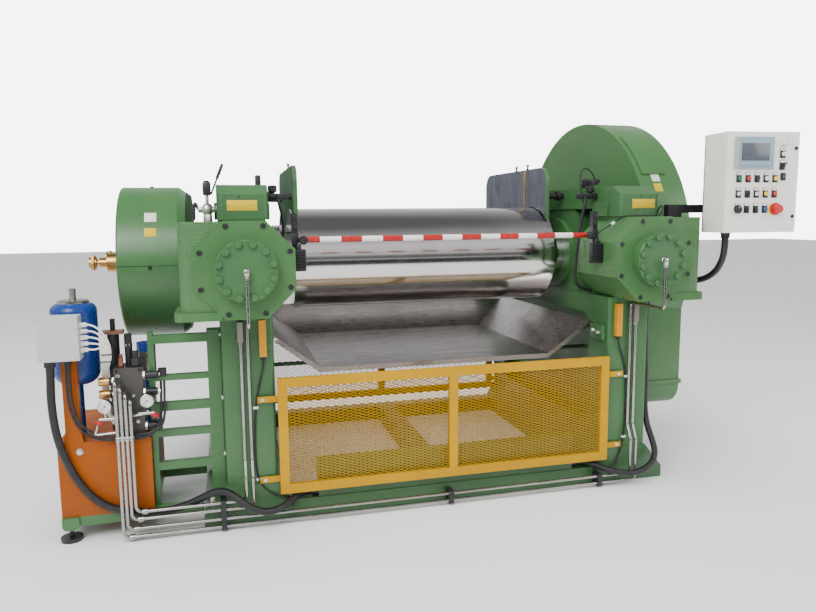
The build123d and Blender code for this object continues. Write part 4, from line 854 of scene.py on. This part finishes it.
def one_control(kind, x, z, holders, legends, caps):
    """Holder plate, white legend and the cap, handle or knob in it."""
    panel_slab(holders, x, 0.015, z, 0.02, 0.03, 0, 0.003)
    panel_slab(legends, x, 0.0135, z, -0.0165, 0.0285, 0.003, 0.0036, 0.0004)
    colour, _, turned_kind = kind.partition(" ")
    if kind == "rocker":
        panel_slab(holders, x, 0.011, z, 0.016, 0.013, 0.003, 0.007)
        panel_slab(caps["black"], x, 0.008, z, 0.012, 0.001, 0.007, 0.011)
        panel_slab(caps["black"], x, 0.008, z, 0.001, 0.01, 0.007, 0.009)
        return
    if kind == "knob":
        disc(holders, on_panel(x, z, 0.003), PANEL_OUT, 0.0215, 0.002, 32)
        disc(caps["black"], on_panel(x, z - 0.003, 0.004), PANEL_OUT, 0.0195, 0.01, 14)
        panel_slab(caps["white"], x, 0.0008, z, -0.004, 0.015, 0.0138, 0.0142, 0.0002)
        return
    collar = [(0.0142, 0), (0.0142, 0.003), (0.0125, 0.005), (0.0115, 0.005), (0.0112, 0.001), (0, 0.001)]
    turned(holders, collar, on_panel(x, z, 0.003), PANEL_OUT)
    if turned_kind:
        disc(caps[colour], on_panel(x, z, 0.004), PANEL_OUT, 0.0108, 0.004)
        panel_key(caps[colour], x, z, 35, 0.003, -0.01, 0.01, 0.0012)
    elif kind == "lever":
        disc(caps["black"], on_panel(x, z, 0.004), PANEL_OUT, 0.0108, 0.004)
        panel_key(caps["black"], x, z, 50, 0.0035, -0.008, 0.026, 0.002)
    else:
        disc(caps[colour], on_panel(x, z, 0.004), PANEL_OUT, 0.0108, 0.0095)


def panel_controls():
    holders, legends = meshes(2)
    caps = {colour: bmesh.new() for colour in cap_finishes}
    for row, kinds in enumerate(CONTROLS):
        for column, kind in enumerate(kinds):
            x, z = BUTTON_X + BUTTON_STEP * column, BUTTON_Z - ROW_STEP * row
            if kind == "stop":
                ring(caps["yellow"], [(0.015, 0), (0.031, 0), (0.031, 0.003), (0.029, 0.004), (0.015, 0.004)],
                     on_panel(x, z), PANEL_OUT, 36)
                continue
            one_control(kind, x, z, holders, legends, caps)
    for kind, z in SIDE_CONTROLS:
        one_control(kind, SIDE_X, z, holders, legends, caps)
    lamp = [(0, 0), (0.0185, 0), (0.0185, 0.006), (0.0165, 0.008), (0.015, 0.014), (0.011, 0.017), (0, 0.018)]
    turned(caps["white"], lamp, on_panel(SIDE_X, LAMP_Z), PANEL_OUT, 28)
    panel_slab(holders, 0.116, 0.014, 0.029, 0.019, 0.019, 0, 0.005)
    disc(holders, on_panel(0.116, 0.029, 0.005), PANEL_OUT, 0.0095, 0.004, 20)
    panel_slab(caps["white"], 0.116, 0.0007, 0.029, 0.005, 0.005, 0.0088, 0.0092, 0.0002)
    base = piece("control_holders", holders, black_plastic, "panel_door")
    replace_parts(base, "panel_buttons")
    piece("control_legends", legends, white_plastic, "panel_door")
    for colour, bm in caps.items():
        piece(f"control_caps_{colour}", bm, cap_finishes[colour], "panel_door")


def panel_screen():
    """Blue-grey film over the screen's face, its dark glass and a row of keys."""
    high_z, front = 0.224, 0.008
    film, glass, keys = meshes(3)
    panel_slab(film, -0.0425, 0.0945, high_z, 0.154, -0.004, front - 0.001, front + 0.0006, 0.0006)
    panel_slab(glass, -0.0475, 0.0775, high_z, 0.117, -0.031, front, front + 0.0012, 0.0004)
    for i in range(8):
        panel_slab(keys, 0.02 * i - 0.1175, 0.007, high_z, 0.134, -0.124, front, front + 0.0014, 0.0005)
    piece("screen_face", film, screen_film, "panel_door")
    piece("screen_window", glass, screen_glass, "panel_door")
    piece("screen_keys", keys, screen_edge, "panel_door")


def panel_hardware():
    """Quarter-turn locks on the door and the nut on the hose gland below the box."""
    bm, nut = meshes(2)
    for z in (-0.17, 0.17):
        disc(bm, on_panel(0.182, z), PANEL_OUT, 0.009, 0.004)
        panel_slab(bm, 0.182, 0.0015, z, 0.005, 0.005, 0.004, 0.0052, 0.0004)
    piece("door_locks", bm, black_plastic, "panel_door")
    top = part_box("panel_box")[0].z
    disc(nut, (panel_route[0][0], panel_route[0][1], top - 0.01), UP, 0.026, 0.01, 6)
    piece("gland_nut", nut, black_plastic)


panel_controls()
panel_screen()
panel_hardware()


# Hydraulic unit

def zoned(name, outside, inside, low, high):
    """Two looks (colour, shade, roughness, metal) on one node, the inside one between two heights."""
    f = Finish(name)
    height = f.axis(f.place, "Z")
    zone = f.calc("MULTIPLY", f.calc("GREATER_THAN", height, low), f.calc("LESS_THAN", height, high))
    worn = f.patches(28, 5, 0.45, 0.75, 0.0, 0.8)
    colour, shade, rough, metal = outside
    inner_colour, inner_shade, inner_rough, inner_metal = inside
    f.set(Base_Color=f.mix(zone, f.mix(worn, colour, shade), f.mix(worn, inner_colour, inner_shade)))
    f.set(Metallic=f.between(zone, 0, 1, metal, inner_metal))
    uneven = f.patches(40, 3, 0.3, 0.7, 0.0, 0.14)
    f.set(Roughness=f.calc("ADD", uneven, f.between(zone, 0, 1, rough, inner_rough)))
    f.bump(f.noise(420, 2), 0.2, 0.0005)
    return f.material


STEEL_LOOK = ((0.55, 0.54, 0.51), (0.34, 0.32, 0.29), 0.24, 1.0)
BLACK_LOOK = ((0.013, 0.013, 0.015), (0.035, 0.034, 0.032), 0.34, 0.0)
BLUE_LOOK = (BLUE, (0.008, 0.042, 0.24), 0.2, 0.0)
COPPER_LOOK = ((0.34, 0.15, 0.1), (0.2, 0.1, 0.07), 0.34, 0.7)
dress(zoned("valves_skin", BLACK_LOOK, STEEL_LOOK, 0.565, 0.612), "valves_and_gauges")
dress(zoned("tank_frame_skin", (GREEN, GREEN_DEEP, 0.3, 0.0), BLACK_LOOK, -0.01, 0.045), "tank_frame")
dress(zoned("motor_skin", BLUE_LOOK, STEEL_LOOK, 0.69, 0.8335), "pump_motor")
dress(zoned("accumulator_skin", BLUE_LOOK, STEEL_LOOK, 1.1032, 1.4), "accumulator")
dress(zoned("filter_skin", BLACK_LOOK, COPPER_LOOK, 0.9405, 0.9575), "return_filter")


PORT_Y = -0.87
GAUGE_Y = -0.94
GAUGES = ((-1.661, 0.645), (-1.48, 0.659))
VALVE_KNOBS = ((-1.691, 0.568), (-1.45, 0.586))
KNOB_Y = -0.925


def gauges():
    """Rims, dials with blank ticks, and needles."""
    rims, dials, marks = meshes(3)
    for x, z in GAUGES:
        middle = Vector((x, GAUGE_Y, z))
        ring(rims, [(0.0262, 0), (0.03, 0), (0.03, 0.003), (0.0275, 0.0045), (0.0262, 0.0035)],
             middle, FRONT, 40)
        disc(dials, middle, FRONT, 0.0264, 0.0008, 40)
        for degrees in range(-135, 136, 27):
            tick = leaning(middle, degrees)
            slab(marks, (-0.0004, -0.0013, 0.019), (0.0004, -0.0007, 0.024), 0.0001, tick)
        needle = leaning(middle, -132)
        slab(marks, (-0.0009, -0.0022, -0.008), (0.0009, -0.0014, 0.02), 0.0003, needle)
        disc(marks, middle - Vector((0, 0.0008, 0)), FRONT, 0.0032, 0.0016, 16)
    piece("gauge_rims", rims, bright_steel)
    piece("gauge_dials", dials, white_plastic)
    piece("gauge_marks", marks, black_plastic)


def brass_sleeves():
    bm = bmesh.new()
    for z in (0.745, 0.686):
        solid(bm, [(0.017, 0), (0.0195, 0.003), (0.0195, 0.044), (0.018, 0.047), (0.018, 0.049)],
              (-1.642, PORT_Y, z), LEFT, 28)
    piece("brass_sleeves", bm, brass)


def red_knobs():
    bm = bmesh.new()
    for x, z in VALVE_KNOBS:
        middle = Vector((x, KNOB_Y, z))
        disc(bm, middle + Vector((0, 0.006, 0)), FRONT, 0.0075, 0.016, 16)
        for degrees in (20, 110):
            slab(bm, (-0.0035, -0.006, -0.017), (0.0035, 0.006, 0.017), 0.003, leaning(middle, degrees))
    piece("valve_knobs", bm, red_plastic)


MANIFOLD_PORTS = ((-1.605, 0.772, 0.011), (-1.605, 0.71, 0.008), (-1.542, 0.675, 0.009),
                  (-1.562, 0.653, 0.006), (-1.515, 0.587, 0.007), (-1.528, 0.552, 0.01))


def corner_screws(bm, name, inset, low_inset, high_inset, radius, height):
    """Socket screws in the four corners of a node's front face."""
    low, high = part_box(name)
    for x in (low.x + inset, high.x - inset):
        for z in (low.z + low_inset, high.z - high_inset):
            socket_screw(bm, (x, low.y, z), FRONT, radius, height)


def manifold_fittings():
    low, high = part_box("manifold_block")
    bright, screws = meshes(2)
    for x, z, radius in MANIFOLD_PORTS:
        disc(bright, (x, low.y, z), FRONT, radius, 0.006, 6)
        socket_screw(bright, (x, low.y - 0.006, z), FRONT, radius * 0.72, 0.003)
    corner_screws(screws, "manifold_block", 0.012, 0.014, 0.012, 0.0065, 0.006)
    for z in (0.766, 0.686, 0.525):
        disc(bright, (high.x, PORT_Y, z), RIGHT, 0.021, 0.01, 6)
        disc(bright, (-1.434, PORT_Y, z), RIGHT, 0.0085, 0.01, 6)
    for z in (0.745, 0.686):
        disc(bright, (low.x, PORT_Y, z), LEFT, 0.021, 0.01, 6)
    for x in (-1.61, -1.59, -1.57, -1.55):
        disc(bright, (x, -0.962, 0.486), UP, 0.0115, 0.018, 6)
    disc(bright, (-1.56, -0.824, 0.9), UP, 0.0185, 0.012, 6)
    piece("manifold_fittings", bright, bright_steel)
    piece("manifold_screws", screws, black_paint)
    lines("drain_pipe", [
        [(-1.697, -0.925, 0.556), (-1.702, -0.925, 0.536), (-1.712, -0.925, 0.517), (-1.696, -0.925, 0.513),
         (-1.66, -0.925, 0.515), (-1.622, -0.925, 0.517), (-1.606, -0.922, 0.517), (-1.606, -0.889, 0.517)],
        [(-1.553, -0.889, 0.59), (-1.553, -0.924, 0.59), (-1.545, -0.927, 0.59), (-1.5, -0.927, 0.594),
         (-1.47, -0.925, 0.597)],
    ], 0.01, bright_steel)


def valve_block():
    """Small valve on top of the manifold, its adjusting knob, and the square connector beside it."""
    parts, knobs = meshes(2)
    slab(parts, (-1.6, -0.872, 0.807), (-1.582, -0.848, 0.852), 0.002)
    disc(parts, (-1.591, -0.86, 0.852), UP, 0.009, 0.016, 6)
    slab(knobs, (-1.546, -0.874, 0.807), (-1.512, -0.84, 0.846), 0.003)
    disc(knobs, (-1.529, -0.857, 0.846), UP, 0.016, 0.034, 14)
    slab(knobs, (-1.436, -0.852, 0.746), (-1.398, -0.812, 0.786), 0.004)
    slab(knobs, (-1.436, -0.89, 0.752), (-1.428, -0.852, 0.78), 0.002)
    piece("pilot_valve", parts, copper)
    piece("valve_caps", knobs, black_plastic)


WHITE_LEADS = 5
WHITE_LEAD_D = 0.0085
WHITE_GLAND_TOP = 1.022
WHITE_GLAND_STEP = 0.028


def white_gland_z(i):
    return WHITE_GLAND_TOP - WHITE_GLAND_STEP * i


def box_fittings():
    """White glands on the terminal box, lid screws, and the gland of the twin hoses below it."""
    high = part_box("terminal_box")[1]
    glands, screws, nuts = meshes(3)
    for i in range(WHITE_LEADS):
        solid(glands, [(0.0125, 0), (0.0125, 0.01), (0.0105, 0.012), (0.0105, 0.026), (0.0065, 0.032)],
              (high.x, -0.934, white_gland_z(i)), RIGHT, 12)
    corner_screws(screws, "terminal_box", 0.012, 0.012, 0.012, 0.005, 0.0015)
    disc(nuts, (-1.803, -0.93, 0.852), UP, 0.02, 0.018, 6)
    disc(nuts, (-1.803, -0.93, 0.842), UP, 0.015, 0.012, 20)
    piece("white_glands", glands, white_plastic)
    piece("lid_screws", screws, grey_plastic)
    piece("hose_gland_nut", nuts, black_plastic)


def white_leads():
    for i in range(WHITE_LEADS):
        z = white_gland_z(i)
        aside = 0.0088 * (i - 2)
        lead(f"white_lead_{i + 1}", [
            (-1.711, -0.934, z), (-1.69, -0.934, z - 0.002), (-1.664 - aside * 0.4, -0.931, 0.992 - 0.02 * i),
            (-1.644 - aside, -0.927, 0.938 - 0.006 * i), (-1.64 - aside, -0.922, 0.88),
            (-1.648 - aside, -0.908, 0.842), (-1.66 - aside * 0.7, -0.868, 0.806),
            (-1.666 - aside * 0.7, -0.836, 0.762), (-1.668 - aside * 0.7, -0.83, 0.7),
            (-1.672 - aside * 0.7, -0.832, 0.63), (-1.662 - aside * 0.5, -0.836, 0.572 + aside),
            (-1.64, -0.838, 0.548 + aside), (-1.6225, -0.838, 0.545 + aside),
        ], WHITE_LEAD_D, white_plastic)
    ties = bmesh.new()
    for x, y, z in ((-1.64, -0.928, 0.88), (-1.647, -0.914, 0.845)):
        slab(ties, (x - 0.024, y, z - 0.0025), (x + 0.024, y + 0.013, z + 0.0025), 0.001)
    piece("cable_ties", ties, black_plastic)


def twin_hoses():
    for name, aside in (("twin_hose_a", -0.0075), ("twin_hose_b", 0.0075)):
        lead(name, [
            (-1.803 + aside, -0.93, 0.843), (-1.804 + aside, -0.93, 0.81), (-1.806 + aside, -0.928, 0.73),
            (-1.802 + aside, -0.926, 0.65), (-1.782 + aside, -0.922, 0.572),
            (-1.742 + aside, -0.916, 0.52 + aside), (-1.69, -0.912, 0.494 + aside),
            (-1.62, -0.912, 0.484 + aside), (-1.545, -0.912, 0.484 + aside), (-1.48, -0.912, 0.49 + aside),
            (-1.43 + aside, -0.9, 0.52), (-1.416 + aside, -0.88, 0.58), (-1.418 + aside, -0.856, 0.64),
            (-1.417 + aside, -0.834, 0.69), (-1.417 + aside, -0.832, 0.7465),
        ], 0.012)


def tank_fittings():
    bolts, feet = meshes(2)
    hexagon(bolts, (-1.786, -0.889, 0.429), FRONT, 0.024, 0.012)
    tank_low, tank_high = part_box("oil_tank")
    for x in (tank_low.x + 0.04, tank_high.x - 0.04):
        hexagon(bolts, (x, tank_low.y + 0.04, tank_high.z), UP, 0.016, 0.008)
    disc(feet, (-1.798, -0.7527, 1.1035), UP, 0.05, 0.005, 32)
    piece("tank_bolts", bolts, bright_steel)
    piece("accumulator_ring", feet, copper)


gauges()
brass_sleeves()
red_knobs()
manifold_fittings()
valve_block()
box_fittings()
white_leads()
twin_hoses()
tank_fittings()


# Cables down the columns and the rack

CABLE_Y = -0.9195


def column_cables():
    clips, glands, bolts = meshes(3)
    for name, side, route in (
        ("switch_lead_left", -1, [
            (-0.95, CABLE_Y, 0.818), (-0.95, CABLE_Y, 0.79), (-0.962, -0.913, 0.73), (-0.98, -0.911, 0.66),
            (-0.992, -0.911, 0.59), (-1.0, -0.911, 0.47), (-1.002, -0.911, 0.34), (-0.998, -0.912, 0.25),
            (-0.978, -0.918, 0.19), (-0.93, -0.9235, 0.148), (-0.885, -0.926, 0.13), (-0.858, -0.924, 0.122),
            (-0.845, -0.9125, 0.1175)]),
        ("switch_lead_right", 1, [
            (0.95, CABLE_Y, 0.818), (0.952, CABLE_Y, 0.79), (0.976, -0.913, 0.74), (0.998, -0.911, 0.67),
            (1.01, -0.911, 0.59), (1.013, -0.911, 0.42), (1.01, -0.911, 0.3), (0.998, -0.913, 0.22),
            (0.972, -0.92, 0.15), (0.94, -0.9245, 0.102), (0.915, -0.924, 0.08), (0.903, -0.9125, 0.072)]),
    ):
        lead(name, route, 0.009)
        disc(glands, (side * 0.95, CABLE_Y, 0.812), UP, 0.0105, 0.018, 6)
    for x, z in ((-0.993, 0.58), (-0.9905, 0.222), (1.01, 0.6), (1.006, 0.256)):
        slab(clips, (x - 0.013, -0.9185, z - 0.006), (x + 0.013, -0.905, z + 0.006), 0.003)
    for name, side in zip(SIDES, (-1, 1)):
        disc(bolts, (side * 1.053, -0.919, 0.885), UP, 0.0115, 0.017, 6)
        disc(bolts, (side * 1.053, -0.919, 0.871), UP, 0.0075, 0.016, 20)
        for z in (0.218, 0.619):
            hexagon(bolts, (side * 0.96, -0.923, z), FRONT, 0.016, 0.007)
        for x in (0.868, 1.212):
            found = on_surface((side * x, -0.87, 0.6), DOWN, f"{name}_side_frame")
            if found:
                hexagon(bolts, found[0], UP, 0.036, 0.022)
    piece("cable_clips", clips, white_plastic)
    piece("switch_glands", glands, black_plastic)
    piece("column_bolts", bolts, bright_steel)


def rack_conduit():
    x, y = -1.135, -0.862
    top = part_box("left_cylinder_housing")[0].z
    found = on_surface((x, y, 0.9), DOWN, "left_side_frame", "tank_frame", "base_front_rail")
    bottom = found[0].z if found else 0.12
    lines("rack_conduit", [[(x, y, top), (x, y, 0.6), (x, y, bottom)]], 0.02, rubber)
    clips = bmesh.new()
    for z in (0.938, 0.631, 0.352):
        slab(clips, (-1.15, -0.8745, z - 0.007), (-1.122, -0.848, z + 0.007), 0.003)
    piece("conduit_clips", clips, white_plastic)


column_cables()
rack_conduit()


# Stock guides, blank plates, tray bracket, unions

def guide_fittings():
    strip, screws, tips = meshes(3)
    low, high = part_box("right_stock_guide")
    slab(strip, (low.x - 0.0012, -0.186, 1.54), (low.x, -0.158, high.z - 0.003), 0.0004)
    for side, places in ((1, (-0.024, -0.194)), (-1, (-0.096,))):
        for y in places:
            spot = Vector((side * (low.x + high.x) / 2, y, high.z))
            disc(screws, spot, UP, 0.008, 0.008, 6)
            disc(screws, spot, UP, 0.0045, 0.018, 14)
            disc(tips, spot + UP * 0.016, UP, 0.0095, 0.016, 18, 0.35)
    piece("guide_strip", strip, brass)
    piece("guide_screws", screws, black_paint)
    piece("guide_screw_tips", tips, red_plastic)


def blank_plates():
    white_bm, yellow_bm = meshes(2)
    plate_on(white_bm, (0.6, -0.96, 1.277), RIGHT, 0.05, 0.05, "right_cylinder_housing", "right_side_frame")
    plate_on(white_bm, (-1.454, -1.4, 1.4925), BACK, 0.056, 0.053, "left_gear_cover")
    plate_on(yellow_bm, (-1.454, -1.4, 1.42), BACK, 0.056, 0.044, "left_gear_cover")
    for degrees, bm in ((32.5, white_bm), (27.8, yellow_bm)):
        angle = math.radians(degrees)
        reach = Vector((0, -math.cos(angle), math.sin(angle)))
        outside = Vector((1.315, 0.02, ROLL_AXIS_Z)) + reach * 1.2
        plate_on(bm, outside, -reach, 0.052, 0.052, "right_gear_cover")
    piece("white_plates", white_bm, white_plastic)
    piece("yellow_plates", yellow_bm, yellow_plate)


def drum_screws():
    bm = bmesh.new()
    for start, direction in (((-1.461, -1.2, 1.249), BACK), ((-1.465, -0.3, 2.4), DOWN)):
        found = on_surface(start, direction, "left_gear_cover")
        if found:
            socket_screw(bm, found[0], found[1], 0.009, 0.006)
    piece("drum_screws", bm, black_paint)


def tray_bracket():
    bm, pins = meshes(2)
    slab(bm, (0.874, -0.88, 0.802), (0.8975, -0.75, 0.884), 0.004)
    disc(pins, (0.874, -0.85, 0.845), LEFT, 0.012, 0.02, 20)
    hexagon(pins, (0.874, -0.785, 0.845), LEFT, 0.022, 0.012)
    piece("tray_bracket", bm, green)
    piece("tray_bracket_pins", pins, bright_steel)


def union_collars():
    for name, body in (("front_rotary_union", "nip_carriage"), ("back_rotary_union", "frame")):
        low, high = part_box(name)
        middle_y = middle_of(name).y
        reach = min(high.y - middle_y, ROLL_AXIS_Z - low.z)
        bm = bmesh.new()
        disc(bm, (high.x - 0.03, middle_y, ROLL_AXIS_Z), RIGHT, reach * 0.98, 0.022, 6)
        disc(bm, (low.x + 0.012, middle_y, ROLL_AXIS_Z), RIGHT, reach * 0.8, 0.016, 6)
        piece(f"{name}_collars", bm, brass, body)


guide_fittings()
blank_plates()
drum_screws()
tray_bracket()
union_collars()


# Studio

MILL_MIDDLE = Vector((0, 0, 1))
SEEN_STRENGTH = 6.5
ROOM_STRENGTH = 0.5


def add_light(name, place, size, power, mirrored=True):
    """Square lamp that shines at the middle of the mill."""
    data = bpy.data.lights.new(name, "AREA")
    data.shape = "SQUARE"
    data.size = size
    data.energy = power
    lamp = new_object(name, data)
    lamp.location = place
    lamp.rotation_euler = (MILL_MIDDLE - Vector(place)).to_track_quat("-Z", "Y").to_euler()
    lamp.visible_glossy = mirrored


add_light("key", (-3.0, -4.5, 4.5), 3.0, 270)
add_light("fill", (4.5, -3.5, 3.0), 3.0, 110)
add_light("rear", (0, 4.0, 5.0), 4.0, 130, False)
add_light("top", (-0.6, -1.2, 5.2), 3.0, 90, False)


def add_sky_light():
    """Even, soft light from above, which also reaches the far floor."""
    data = bpy.data.lights.new("sky", "SUN")
    data.energy = 1.5
    data.angle = math.radians(50)
    lamp = new_object("sky", data)
    lamp.rotation_euler = (math.radians(12), math.radians(-8), 0)
    lamp.visible_glossy = False


add_sky_light()


def studio_world():
    """White behind the object; darker round the horizon for what the metal and the enamel mirror."""
    world = bpy.data.worlds.new("studio")
    world.use_nodes = True
    tree = world.node_tree
    seen = tree.nodes["Background"]
    seen.inputs["Color"].default_value = (1, 1, 1, 1)
    seen.inputs["Strength"].default_value = SEEN_STRENGTH
    split = add_node(tree, "SeparateXYZ", Vector=add_node(tree, "TexCoord").outputs["Generated"])
    ramp = add_node(tree, "ValToRGB", Fac=split.outputs["Z"])
    stops = ramp.color_ramp.elements
    stops[0].position, stops[0].color = 0.0, (0.2, 0.2, 0.21, 1)
    stops[1].position, stops[1].color = 1.0, (0.3, 0.31, 0.34, 1)
    for position, value in ((0.06, 0.3), (0.14, 1.5), (0.48, 1.9), (0.66, 1.1), (0.82, 0.75), (0.95, 0.3)):
        stops.new(position).color = (value, value, value * 1.02, 1)
    room = add_node(tree, "Background", Color=ramp.outputs[0], Strength=ROOM_STRENGTH)
    seen_directly = add_node(tree, "LightPath").outputs["Is Camera Ray"]
    choose = add_node(tree, "MixShader", Fac=seen_directly)
    tree.links.new(room.outputs[0], choose.inputs[1])
    tree.links.new(seen.outputs[0], choose.inputs[2])
    tree.links.new(choose.outputs[0], tree.nodes["World Output"].inputs["Surface"])
    bpy.context.scene.world = world


def sheet(name, corners, grey, rough):
    """Flat, plain grey sheet of the studio."""
    mesh = bpy.data.meshes.new(name)
    mesh.from_pydata(corners, [], [(0, 1, 2, 3)])
    f = Finish(name)
    f.set(Base_Color=(grey, grey, grey), Roughness=rough)
    mesh.materials.append(f.material)
    return new_object(name, mesh)


def studio_floor():
    reach = 30
    corners = [(-reach, -reach, 0), (reach, -reach, 0), (reach, reach, 0), (-reach, reach, 0)]
    sheet("floor", corners, 0.92, 0.8)


def dark_card():
    """Black card behind the camera, seen only as the dark line that the rolls mirror."""
    corners = [(-6, -4.7, 0.01), (8, -4.7, 0.01), (8, -4.7, 0.95), (-6, -4.7, 0.95)]
    card = sheet("dark_card", corners, 0.01, 1.0)
    card.visible_camera = False
    card.visible_diffuse = False
    card.visible_shadow = False


studio_world()
studio_floor()
dark_card()
